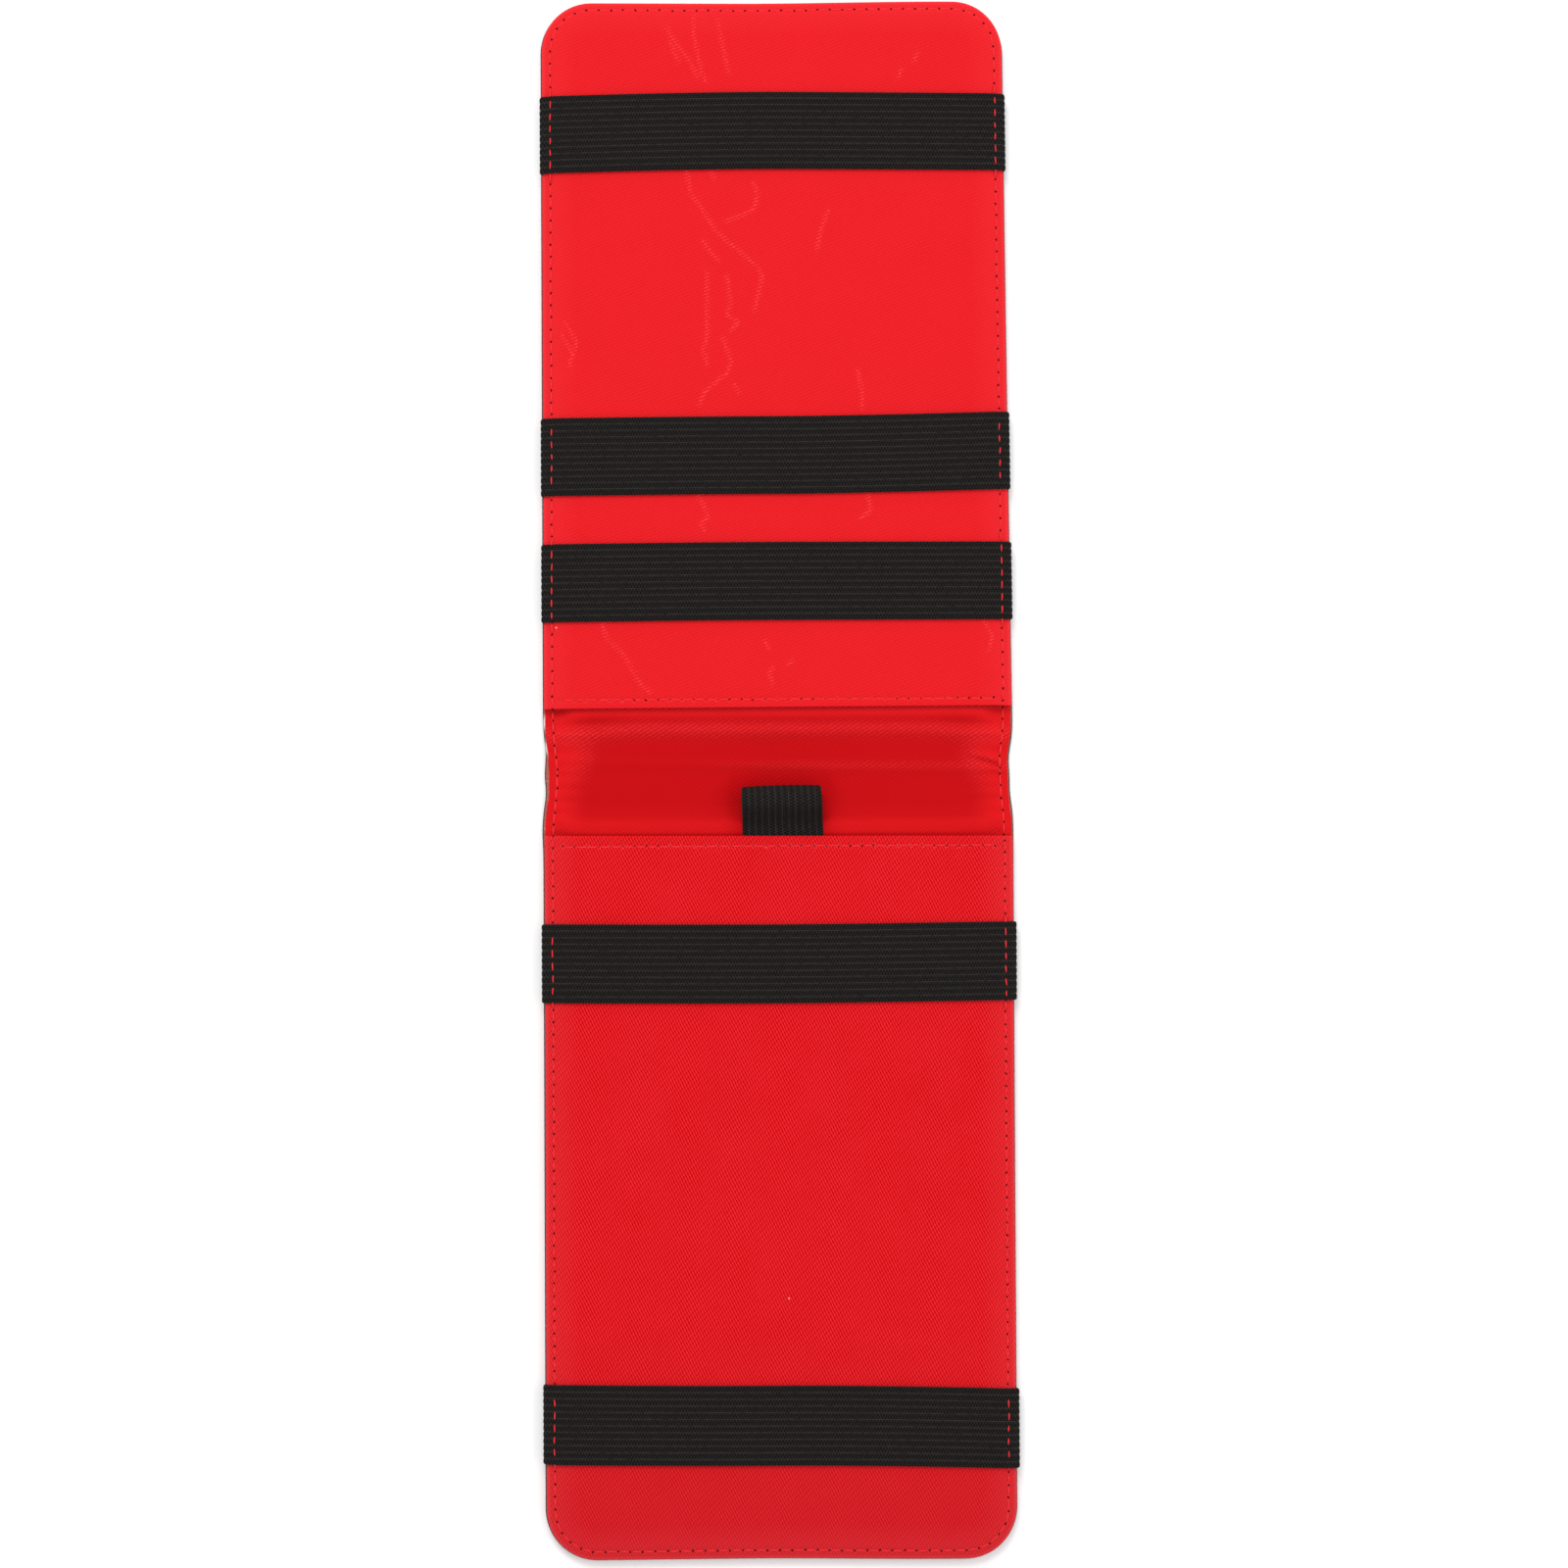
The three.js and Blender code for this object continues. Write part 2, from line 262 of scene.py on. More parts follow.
def edgeDistance(x, y):
    # distance in from the sewn outline: its two sides, far end and round corners
    qx = np.abs(x) - (cover["halfWidth"] - cover["corner"])
    qy = y - (cover["farY"] - cover["corner"])
    inCorner = (qx > 0) & (qy > 0)
    rounded = cover["corner"] - np.hypot(np.maximum(qx, 0), np.maximum(qy, 0))
    straight = np.minimum(cover["halfWidth"] - np.abs(x), cover["farY"] - y)
    return np.where(inCorner, rounded, straight)


straightRun = cover["farY"] - cover["corner"] - cover["mouthY"]
seamRadius = cover["corner"] - sewing["inset"]
cornerRun = seamRadius * math.pi / 2
endRun = 2 * (cover["halfWidth"] - cover["corner"])
seamLength = 2 * straightRun + 2 * cornerRun + endRun


def seamRunAt(x, y):
    # how far along the perimeter seam the nearest point of the seam is, starting at the mouth's
    # left end and going round the far end to the mouth's right end
    halfEnd = cover["halfWidth"] - cover["corner"]
    qy = y - (cover["farY"] - cover["corner"])
    qx = np.abs(x) - halfEnd
    turn = np.arctan2(np.maximum(qy, 0), np.maximum(qx, 1e-6))
    side = np.where(qy <= 0, y - cover["mouthY"], straightRun + seamRadius * turn)
    onEnd = straightRun + cornerRun + (halfEnd - np.abs(x))
    nearSide = (cover["halfWidth"] - np.abs(x)) < (cover["farY"] - y)
    inCorner = (qx > 0) & (qy > 0)
    run = np.where(inCorner | nearSide, side, onEnd)
    return np.where(x < 0, run, seamLength - run)


def seamPoint(run):
    # the point of the perimeter seam at that run, and its direction
    half = run > seamLength / 2
    s = np.where(half, seamLength - run, run)
    halfEnd = cover["halfWidth"] - cover["corner"]
    turn = np.clip((s - straightRun) / seamRadius, 0, math.pi / 2)
    past = np.maximum(s - straightRun - cornerRun, 0)
    x = -(halfEnd + seamRadius * np.cos(turn)) + past
    y = cover["mouthY"] + np.minimum(s, straightRun) + seamRadius * np.sin(turn)
    return np.where(half, -x, x), y


def inBand(x, y, side, soft=0.35):
    # 1 under an elastic band, 0 away from it
    found = np.zeros_like(x)
    for band in bands:
        if band["y"] * side > 0:
            middle = bandMiddle(band, x) * side
            away = np.abs(y - middle) - tape["width"] / 2
            found = np.maximum(found, 1 - smoothStep(away, -soft, soft))
    return found


# marks that use has left on the upper pocket: soft crease lines, as points to join
creases = [
    [(-22, 153), (-21, 147), (-18, 143), (-15, 138), (-12, 135)]
    + [(-7, 131), (-4, 128), (-3, 126), (-4, 121), (-5, 117)],
    [(-5, 150), (-4, 147), (-5, 143), (-7, 142), (-12, 140)],
    [(-16, 153), (-15, 151)],
    [(-18, 135), (-16, 132), (-14, 130)],
    [(-17, 127), (-17, 122), (-17, 117), (-17, 111), (-18, 107), (-17, 103)],
    [(-12, 126), (-11, 119), (-12, 116), (-9, 114), (-11, 112)],
    [(-13, 110), (-11, 104), (-12, 101), (-16, 98), (-18, 96), (-19, 93)],
    [(-10, 98), (-9, 96)],
    [(-53, 114), (-50, 109), (-52, 103)],
    [(-54, 111), (-51, 106)],
    [(21, 102), (22, 96), (22, 92)],
    [(14, 143), (12, 138), (11, 133)],
    [(-20, 71), (-18, 67), (-17, 64), (-19, 63), (-18, 61)],
    [(23, 71), (24, 66), (21, 64)],
    [(-44, 38), (-43, 34), (-39, 30), (-37, 27), (-35, 23), (-32, 20)],
    [(-3, 33), (-2, 31)],
    [(4, 28), (3, 27)],
    [(-1, 26), (-2, 25), (-1, 22)],
    [(52, 38), (54, 34), (53, 30)],
    [(-20, 193), (-20, 188), (-19, 183), (-18, 178), (-17, 176)],
    [(-14, 192), (-13, 187), (-12, 182), (-11, 178)],
    [(-27, 190), (-24, 185), (-21, 181), (-19, 177)],
    [(37, 183), (36, 181)],
    [(33, 179), (32, 177)],
    [(-26, 186), (-24, 181)],
]


def creaseStrength(x, y, width):
    # the strongest of the bells round each crease line, by distance to its nearest stretch
    found = np.zeros_like(x)
    for line in creases:
        for (ax, ay), (bx, by) in zip(line[:-1], line[1:]):
            dx, dy = bx - ax, by - ay
            t = np.clip(((x - ax) * dx + (y - ay) * dy) / (dx * dx + dy * dy), 0, 1)
            away = np.hypot(x - ax - t * dx, y - ay - t * dy)
            found = np.maximum(found, np.exp(-((away / width) ** 2)))
    return found


def slowWaves(x, y, seed, size, count=7):
    # a sum of long sine waves in random directions, for cloth that isn't quite flat
    picks = np.random.default_rng(seed)
    total = np.zeros_like(x)
    for _ in range(count):
        angle = picks.uniform(0, math.tau)
        length = size * picks.uniform(0.6, 1.6)
        phase = picks.uniform(0, math.tau)
        total += np.sin(math.tau * (x * math.cos(angle) + y * math.sin(angle)) / length + phase)
    return total / count


def hemInsetOf(side):
    return sewing["upperHemInset"] if side > 0 else sewing["lowerHemInset"]


def clothTopAt(x, y, side):
    # height of a pocket's cloth: flat over its card, pinched down towards the sewn edge, with a
    # groove along each seam, rolled over at the mouth
    d = edgeDistance(x, y)
    past = y - cover["mouthY"]
    z = cover["clothTop"] - cover["edgeDrop"] * (1 - smoothStep(d, 0, 4.2)) ** 1.5
    z -= sewing["groove"] * bell(d, sewing["inset"], 0.5)
    z -= sewing["groove"] * bell(past, hemInsetOf(side), 0.45) * smoothStep(d, 3.0, 4.2)
    edgeRound = cover["edgeRound"]
    z -= quarterRound(edgeRound, np.clip(d - cover["clothInset"], 0, edgeRound) / edgeRound)
    mouthRound = cover["upperMouthRound"] if side > 0 else cover["lowerMouthRound"]
    z -= quarterRound(mouthRound, np.clip(past / mouthRound, 0, 1))
    z += cover["waviness"] * slowWaves(x, y * side, 3 + side, 60)
    if side > 0:
        z += cover["creaseHeight"] * creaseStrength(x, y, 0.8)
    return z


def clothBottomAt(x, y):
    # underside of the pocket's cloth: down on the lining in the sewn margin, round the card's
    # edge at the mouth, and just over the card elsewhere
    d = edgeDistance(x, y)
    past = y - cover["mouthY"]
    inner = cover["cardTop"] + 0.03
    lip = cover["raisedLining"] + 0.15
    z = inner - (inner - lip) * (1 - smoothStep(past, 0.5, 0.6))
    return z - (z - cover["flatLining"] - 0.02) * (1 - smoothStep(d, 3.0, 3.35))


def fillInputs(tree, node, values):
    # by number or name: another node's socket is linked, a plain value is stored
    for key, value in values.items():
        if isinstance(value, bpy.types.NodeSocket):
            tree.links.new(value, node.inputs[key])
        else:
            node.inputs[key].default_value = value


def addNode(tree, kind, inputs=None, **settings):
    made = tree.nodes.new("ShaderNode" + kind)
    for key, value in settings.items():
        setattr(made, key, value)
    fillInputs(tree, made, inputs or {})
    return made


def calc(tree, operation, a, b=0.0, c=0.0):
    return addNode(tree, "Math", {0: a, 1: b, 2: c}, operation=operation).outputs[0]


def times(tree, a, b):
    return calc(tree, "MULTIPLY", a, b)


def timesPlus(tree, a, b, c):
    return calc(tree, "MULTIPLY_ADD", a, b, c)


def remap(tree, value, low, high, toLow=0.0, toHigh=1.0):
    inputs = {"Value": value, 1: low, 2: high, 3: toLow, 4: toHigh}
    return addNode(tree, "MapRange", inputs).outputs[0]


def wave(tree, phase):
    # a sine wave between 0 and 1
    return remap(tree, calc(tree, "SINE", phase), -1, 1)


def mixColour(tree, factor, a, b):
    # a and b are colour sockets, or red, green and blue
    ends = [end if isinstance(end, bpy.types.NodeSocket) else (*end, 1) for end in (a, b)]
    return addNode(tree, "Mix", {0: factor, 6: ends[0], 7: ends[1]}, data_type="RGBA").outputs[2]


def noise(tree, place, scale, detail=2.0, roughness=0.5):
    inputs = {"Vector": place, "Scale": scale, "Detail": detail, "Roughness": roughness}
    return addNode(tree, "TexNoise", inputs).outputs[0]


def placeInMm(tree):
    coordinates = addNode(tree, "TexCoord").outputs["Object"]
    return addNode(tree, "Mapping", {"Vector": coordinates, "Scale": (1000, 1000, 1000)}).outputs[0]


def alongDirection(tree, place, degrees):
    # how far a place lies along a direction in the plan
    way = (math.cos(math.radians(degrees)), math.sin(math.radians(degrees)), 0)
    return addNode(tree, "VectorMath", {0: place, 1: way}, operation="DOT_PRODUCT").outputs["Value"]


def carried(tree, name):
    # the number that a mesh carries at each vertex under this name
    return addNode(tree, "Attribute", attribute_name=name).outputs["Fac"]


def carriedPlace(tree, name):
    # the first two of the three numbers that a mesh carries at each vertex under this name
    found = addNode(tree, "Attribute", attribute_name=name).outputs["Vector"]
    parts = addNode(tree, "SeparateXYZ", {0: found}).outputs
    return parts[0], parts[1]


def bump(tree, height, distance, normal=None):
    inputs = {"Height": height, "Distance": distance, "Strength": 1.0}
    if normal is not None:
        inputs["Normal"] = normal
    return addNode(tree, "Bump", inputs).outputs[0]


def newMaterial(name):
    material = bpy.data.materials.new(name)
    material.use_nodes = True
    return material, material.node_tree


shaderSockets = {
    "roughness": "Roughness",
    "gloss": "Specular IOR Level",
    "sheen": "Sheen Weight",
    "sheenRoughness": "Sheen Roughness",
    "coat": "Coat Weight",
    "coatRoughness": "Coat Roughness",
}


def finished(material, look, colour, normal):
    # links the colour and the bump, and stores what is the same all over the surface
    values = {socket: look[key] for key, socket in shaderSockets.items() if key in look}
    values = {"Base Color": colour, "Normal": normal, **values}
    fillInputs(material.node_tree, material.node_tree.nodes["Principled BSDF"], values)
    return material


# the needle's holes in the cloth, in millimetres except for the depth
holes = {
    "radius": 0.2,
    "softRadius": 0.38,
    "puckerFrom": 0.36,  # painted highlight on the cloth drawn up round each hole, between these two distances
    "puckerTo": 0.7,
    "sway": 0.35,  # how far a hole strays from the seam's line
    "hemClosed": 0.3,  # how open the most closed and the widest of the hem's holes are
    "hemOpen": 0.95,
    "depth": 0.00015,
}


def twillMaterial(name, look):
    # Satin twill: fine slanted ridges, each broken into short floats, with uneven yarn. The
    # ridges are a sine across the line angle, the floats a sine along it that steps on from
    # ridge to ridge. The seam and hem attributes hold run and distance, for the needle holes.
    # Wear brightens worn creases and paints highlights on ridges and edges; shade paints darker
    # shade into hollows and towards the lower pocket's far end.
    material, tree = newMaterial(name)
    place = placeInMm(tree)
    wander = remap(tree, noise(tree, place, 0.35, 3), 0, 1, -1, 1)
    across = alongDirection(tree, place, look["lineAngle"] + 90)
    along = alongDirection(tree, place, look["lineAngle"])
    phase = timesPlus(tree, across, math.tau / look["pitch"], times(tree, wander, 1.6))
    stepped = times(tree, phase, look["floatStep"])
    segment = wave(tree, timesPlus(tree, along, math.tau / look["floatLength"], stepped))
    weave = timesPlus(tree, segment, 0.25, times(tree, wave(tree, phase), 0.75))
    grain = noise(tree, place, 2.6, 3, 0.65)
    patches = noise(tree, place, 0.09, 3, 0.6)
    sway = remap(tree, noise(tree, place, 0.3, 1), 0, 1, -holes["sway"], holes["sway"])

    def farFromHole(seam, pitch, seamInset):
        # distance from the nearest place where the needle went through
        shifted = calc(tree, "WRAP", calc(tree, "ADD", seam[0], sway), pitch / 2, -pitch / 2)
        offset = calc(tree, "SUBTRACT", calc(tree, "ADD", seam[1], sway), seamInset)
        return calc(tree, "SQRT", timesPlus(tree, offset, offset, times(tree, shifted, shifted)))

    seam = carriedPlace(tree, "seam")
    edgeFar = farFromHole(seam, sewing["pitch"], sewing["inset"])
    hemFar = farFromHole(carriedPlace(tree, "hem"), sewing["hemPitch"], 0.0)
    opened = noise(tree, place, 0.12, 2)
    hemOpen = remap(tree, opened, 0.4, 0.62, holes["hemClosed"], holes["hemOpen"])
    size = (holes["radius"], holes["softRadius"], 1, 0)
    hemPits = times(tree, remap(tree, hemFar, *size), hemOpen)
    pits = calc(tree, "MAXIMUM", remap(tree, edgeFar, *size), hemPits)
    nearest = calc(tree, "MINIMUM", edgeFar, hemFar)
    # painted highlight: a pale ring where the cloth is drawn up round each hole
    drawnUp = remap(tree, nearest, holes["puckerFrom"], holes["puckerTo"], 1, 0)
    puckerHighlight = times(tree, drawnUp, remap(tree, grain, 0.45, 0.6))
    rimLight = remap(tree, seam[1], 0.5, 1.4, 0.8, 0)
    rimLight = calc(tree, "ADD", rimLight, remap(tree, seam[1], 0.0, 9.0, 0.4, 0))
    rimLight = times(tree, rimLight, look["rim"])

    tone = 0.5
    for pattern, amount in ((weave, "contrast"), (grain, "grain"), (patches, "patches")):
        tone = timesPlus(tree, calc(tree, "SUBTRACT", pattern, 0.5), look[amount], tone)
    colour = mixColour(tree, tone, look["dark"], look["light"])
    # painted shade: the shade attribute mixes in the darker shade colour
    paintedShadeShare = times(tree, carried(tree, "shade"), look["shade"])
    colour = mixColour(tree, paintedShadeShare, colour, look["paintedShade"])
    # painted highlights: wear lines, the sewn edge and the rings round the holes go towards the
    # paler colour
    glint = times(tree, remap(tree, weave, 0.3, 0.85), remap(tree, grain, 0.4, 0.62, 0.15, 1.0))
    line = calc(tree, "POWER", carried(tree, "wearAndHighlight"), look["wearPower"])
    lit = times(tree, times(tree, line, glint), look["wearAndHighlight"])
    lit = calc(tree, "MAXIMUM", lit, calc(tree, "MAXIMUM", rimLight, times(tree, puckerHighlight, 0.5)))
    colour = mixColour(tree, lit, colour, look["wornAndLit"])
    for speck in look["specks"]:
        away = addNode(tree, "VectorMath", {0: place, 1: speck}, operation="DISTANCE")
        seen = remap(tree, away.outputs["Value"], 0.1, 0.27, 0.8, 0)
        colour = mixColour(tree, seen, colour, look["speck"])
    colour = mixColour(tree, times(tree, pits, 0.92), colour, look["hole"])
    fine = bump(tree, timesPlus(tree, grain, 0.7, weave), look["bump"])
    deep = bump(tree, calc(tree, "SUBTRACT", 1, pits), holes["depth"], fine)
    return finished(material, look, colour, deep)


elasticLook = {
    "dark": (0.003, 0.0024, 0.0023),
    "light": (0.0235, 0.0205, 0.0195),
    "yarn": (0.07, 0.063, 0.059),  # the binding yarn between the ribs
    "pick": 0.74,  # length of one pick along the tape
    "bump": 0.00022,
    "roughness": 0.85,
    "gloss": 0.05,
    "sheen": 0.01,
    "sheenRoughness": 0.5,
}


def elasticMaterial(name, look):
    # Woven elastic: two staggered rows of tight picks on each rib, and a paler binding yarn
    # between ribs. The tape attribute holds the places along and across the tape.
    material, tree = newMaterial(name)
    place = placeInMm(tree)
    run, across = carriedPlace(tree, "tape")
    ribPitch = tape["width"] / tape["ribs"]
    rowPitch = ribPitch / 2
    wander = remap(tree, noise(tree, place, 0.25, 2), 0, 1, -0.5, 0.5)
    row = calc(tree, "FLOOR", calc(tree, "DIVIDE", across, rowPitch))
    stagger = times(tree, calc(tree, "PINGPONG", row, 1.0), math.pi)
    phase = timesPlus(tree, run, math.tau / look["pick"], stagger)
    picks = wave(tree, calc(tree, "ADD", phase, times(tree, wander, 2.0)))
    rows = calc(tree, "ABSOLUTE", calc(tree, "SINE", times(tree, across, math.pi / rowPitch)))
    body = times(tree, picks, remap(tree, rows, 0, 1, 0.35, 1))
    binder = calc(tree, "ABSOLUTE", calc(tree, "COSINE", times(tree, across, math.pi / ribPitch)))
    dashes = remap(tree, noise(tree, place, 0.9, 2, 0.6), 0.3, 0.55, 0.25, 1.0)
    binder = times(tree, remap(tree, binder, 0.955, 1.0), dashes)
    fluff = noise(tree, place, 3.2, 3, 0.7)
    tone = calc(tree, "SUBTRACT", timesPlus(tree, body, 0.8, times(tree, fluff, 1.1)), 0.44)
    colour = mixColour(tree, tone, look["dark"], look["light"])
    colour = mixColour(tree, times(tree, binder, 0.42), colour, look["yarn"])
    height = timesPlus(tree, body, 1.0, times(tree, fluff, 0.4))
    return finished(material, look, colour, bump(tree, height, look["bump"]))


threadLook = {"plyPitch": 0.55, "bump": 0.00008, "roughness": 0.45, "gloss": 0.03}


def threadMaterial(name, dark, light):
    # Polyester sewing thread: twisted plies show as slanting lines round each stitch.
    material, tree = newMaterial(name)
    along, around = carriedPlace(tree, "twist")
    turns = times(tree, around, 2.0)
    ply = wave(tree, timesPlus(tree, along, math.tau / threadLook["plyPitch"], turns))
    shade = remap(tree, noise(tree, placeInMm(tree), 1.5, 2), 0.3, 0.7)
    tone = timesPlus(tree, ply, 0.6, times(tree, shade, 0.4))
    colour = mixColour(tree, tone, dark, light)
    return finished(material, threadLook, colour, bump(tree, ply, threadLook["bump"]))


leatheretteLook = {
    "dark": (0.008, 0.0055, 0.005),
    "light": (0.034, 0.024, 0.021),
    "reflectionTintedBackDark": (0.2, 0.05, 0.04),  # the backing cloth, seen at the cut edge, tinted with a painted reddish reflection of the lining
    "reflectionTintedBackPale": (0.46, 0.11, 0.085),
    # colour of the painted glints on the skin's curled edge
    "glintColour": (0.8, 0.72, 0.7),
    "pebbles": 1.15,  # grain pebbles per millimetre
    "polished": 0.26,  # roughness of its smoothest and its dullest patches
    "dull": 0.42,
    "bump": 0.00012,
    "gloss": 0.3,
    "coat": 0.06,
    "coatRoughness": 0.2,
}


def leatheretteMaterial(name, look):
    # Coated cloth: glossy dark brown with a fine pebble grain, pale painted glints on its high
    # spots, and a backing tinted by a painted reflection.
    material, tree = newMaterial(name)
    place = placeInMm(tree)
    cells = {"Vector": place, "Scale": look["pebbles"]}
    cells = addNode(tree, "TexVoronoi", cells, feature="DISTANCE_TO_EDGE").outputs[0]
    pebble = remap(tree, cells, 0.0, 0.28)
    small = noise(tree, place, 2.4, 4, 0.6)
    broad = noise(tree, place, 0.05, 4, 0.6)
    tone = timesPlus(tree, pebble, 0.35, times(tree, broad, 0.6))
    colour = mixColour(tree, tone, look["dark"], look["light"])
    # the backing's reddish tint is a painted reflection of the red lining
    cloth = mixColour(tree, small, look["reflectionTintedBackDark"], look["reflectionTintedBackPale"])
    colour = mixColour(tree, carried(tree, "backingAndReflection"), colour, cloth)
    # painted glints on the skin's curled edge
    colour = mixColour(tree, carried(tree, "wearAndHighlight"), colour, look["glintColour"])
    height = timesPlus(tree, pebble, 0.8, times(tree, small, 0.35))
    roughness = remap(tree, broad, 0.3, 0.7, look["polished"], look["dull"])
    look = {**look, "roughness": roughness}
    return finished(material, look, colour, bump(tree, height, look["bump"]))


boardLook = {"bump": 0.00006, "roughness": 0.9}


def boardMaterial(name, dark, light):
    # Grey or white board: long pressed fibres and flecks.
    material, tree = newMaterial(name)
    place = placeInMm(tree)
    stretched = addNode(tree, "Mapping", {"Vector": place, "Scale": (1, 0.2, 1)}).outputs[0]
    fibres = noise(tree, stretched, 1.6, 5, 0.7)
    flecks = remap(tree, noise(tree, place, 2.2, 2), 0.62, 0.7)
    colour = mixColour(tree, calc(tree, "SUBTRACT", fibres, times(tree, flecks, 0.4)), dark, light)
    return finished(material, boardLook, colour, bump(tree, fibres, boardLook["bump"]))


lowerTwill = {
    "lineAngle": 115.5,  # degrees, the way a twill line runs in the plan
    "pitch": 0.664,
    "floatLength": 1.115,  # length of one float along its line
    "floatStep": 0.211,  # how far the floats step from one line to the next, in turns
    "contrast": 1.5,
    "grain": 0.9,
    "patches": 0.3,
    "dark": (0.46, 0.0001, 0.0005),
    "light": (0.695, 0.017, 0.025),
    "wornAndLit": (0.74, 0.085, 0.095),
    "hole": (0.1, 0.0002, 0.0004),
    "paintedShade": (0.4, 0.012, 0.018),  # the colour of its painted shade
    "shade": 0.45,
    "wearAndHighlight": 0.6,
    "wearPower": 1.0,  # higher draws the crease lines thinner
    "rim": 0.3,
    "specks": [(2, -132, 4)],
    "speck": (0.7, 0.55, 0.52),
    "bump": 0.00009,
    "roughness": 0.6,
    "gloss": 0.02,
}
# the same cloth as the lower pocket's; its paler colours are a painted sheen where the twill runs
# the other way
upperTwill = {
    **lowerTwill,
    "lineAngle": 21,
    "pitch": 0.8,
    "contrast": 0.3,
    "grain": 0.6,
    "patches": 0.15,
    "dark": (0.53, 0.0065, 0.0095),
    "light": (0.73, 0.0155, 0.021),
    "wornAndLit": (0.86, 0.06, 0.075),
    "wearAndHighlight": 1.0,
    "wearPower": 2.2,
    "specks": [(-55.5, 36.5, 4)],
    "bump": 0.00005,
}
spineTwill = {
    **lowerTwill,
    "lineAngle": 32,
    "pitch": 0.85,
    "contrast": 0.25,
    "grain": 0.3,
    "dark": (0.54, 0.0055, 0.0075),
    "light": (0.66, 0.0105, 0.0135),
    "wornAndLit": (0.66, 0.05, 0.058),
    "paintedShade": (0.415, 0.0022, 0.0038),
    "shade": 1.0,
    "wearAndHighlight": 0.6,
    "rim": 0.0,
    "specks": [],
    "bump": 0.00005,
}
lowerCloth = twillMaterial("lowerPocketTwill", lowerTwill)
upperCloth = twillMaterial("upperPocketTwill", upperTwill)
spineCloth = twillMaterial("spineTwill", spineTwill)
elastic = elasticMaterial("blackElastic", elasticLook)
redThread = threadMaterial("redThread", (0.72, 0.013, 0.02), (0.93, 0.052, 0.06))
blackThread = threadMaterial("blackThread", (0.008, 0.007, 0.007), (0.03, 0.028, 0.027))
leatherette = leatheretteMaterial("darkLeatherette", leatheretteLook)
greyBoard = boardMaterial("greyBoard", (0.18, 0.165, 0.145), (0.34, 0.32, 0.29))
whiteCard = boardMaterial("whiteCard", (0.55, 0.53, 0.49), (0.75, 0.73, 0.69))
print("materials made")


# the hidden boards and cards keep their CAD shape
for word in ("lower", "upper"):
    for node, material in (("_stiffener_board", greyBoard), ("_pocket_card", whiteCard)):
        kept = frame["nodes"][word + node]
        kept.data.materials.clear()
        kept.data.materials.append(material)


def panelGrid(inset, nearY, step):
    # columns across and rows away from the spine; each row is squeezed to the cover's width, so
    # the outermost columns follow the rounded corners
    halfWidth = cover["halfWidth"] - inset
    columns = spacedFromEdges(-halfWidth, halfWidth, step)
    farY = cover["farY"] - inset
    cornerY = farY - (cover["corner"] - inset)
    straight = spacedFromEdges(nearY, cornerY, step, depth=3.5, count=14, highEdge=False)
    turn = np.linspace(0, math.pi / 2, 26)[1:]
    arc = cornerY + (cover["corner"] - inset) * np.sin(turn)
    rows = np.concatenate([straight, arc])
    y, columns = np.meshgrid(rows, columns, indexing="ij")
    return columns * halfWidthAt(y, inset) / halfWidth, y


panelLook = {
    "step": 0.8,  # size of its largest faces
    "tuck": 0.35,  # how far a band draws the cloth's edge in
    "mouthSlant": 0.28,  # how far the right end of the mouth sits from the spine
    "creaseWidth": 0.75,
    "shadeFrom": 130,  # painted shade: the lower panel's cloth gets darker between these two places
    "shadeTo": 205,
}


def pocketPanel(word, side, material):
    # the pocket's cloth: the cover's plan, with clothTopAt above and clothBottomAt below
    x, y = panelGrid(cover["clothInset"], cover["mouthY"], panelLook["step"])
    d = edgeDistance(x, y)
    under = inBand(x, y, side)
    tucked = under * (1 - smoothStep(d, 0.3, 1.2))
    x = x - np.sign(x) * panelLook["tuck"] * tucked
    slant = panelLook["mouthSlant"] * x / cover["halfWidth"]
    slant = slant * (1 - smoothStep(y - cover["mouthY"], 0, 8))
    top = clothTopAt(x, y, side)
    bottom = clothBottomAt(x, y)
    tailTop = cover["flatLining"] + tape["thickness"] + 0.1
    bottom = np.where((d < 3.4) & (under > 0.5), np.maximum(bottom, tailTop), bottom)
    bottom = np.minimum(bottom, top - 0.05)
    seam = np.stack([seamRunAt(x, y), d, np.zeros_like(x)], axis=-1)
    hemRun = np.where(d > 3.0, x, 1000.0)
    hem = np.stack([hemRun, y - cover["mouthY"] - hemInsetOf(side), np.zeros_like(x)], axis=-1)
    # crease wear on the upper pocket, shown partly as painted highlights on the weave
    wearAndHighlight = creaseStrength(x, y, panelLook["creaseWidth"]) if side > 0 else np.zeros_like(x)
    # painted shade, darker towards the lower pocket's far end
    paintedShadeShare = smoothStep(-side * y, panelLook["shadeFrom"], panelLook["shadeTo"])
    facts = {"seam": seam, "hem": hem, "wearAndHighlight": wearAndHighlight, "shade": paintedShadeShare}
    name = word + "_pocket_panel"
    made = twoFacedSheet(name, x, side * (y + slant), top, bottom, material, facts)
    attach(made, word + "_cover")
    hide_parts(word + "_pocket_cloth")


pocketPanel("lower", -1, lowerCloth)
pocketPanel("upper", 1, upperCloth)
print("pocket panels made")


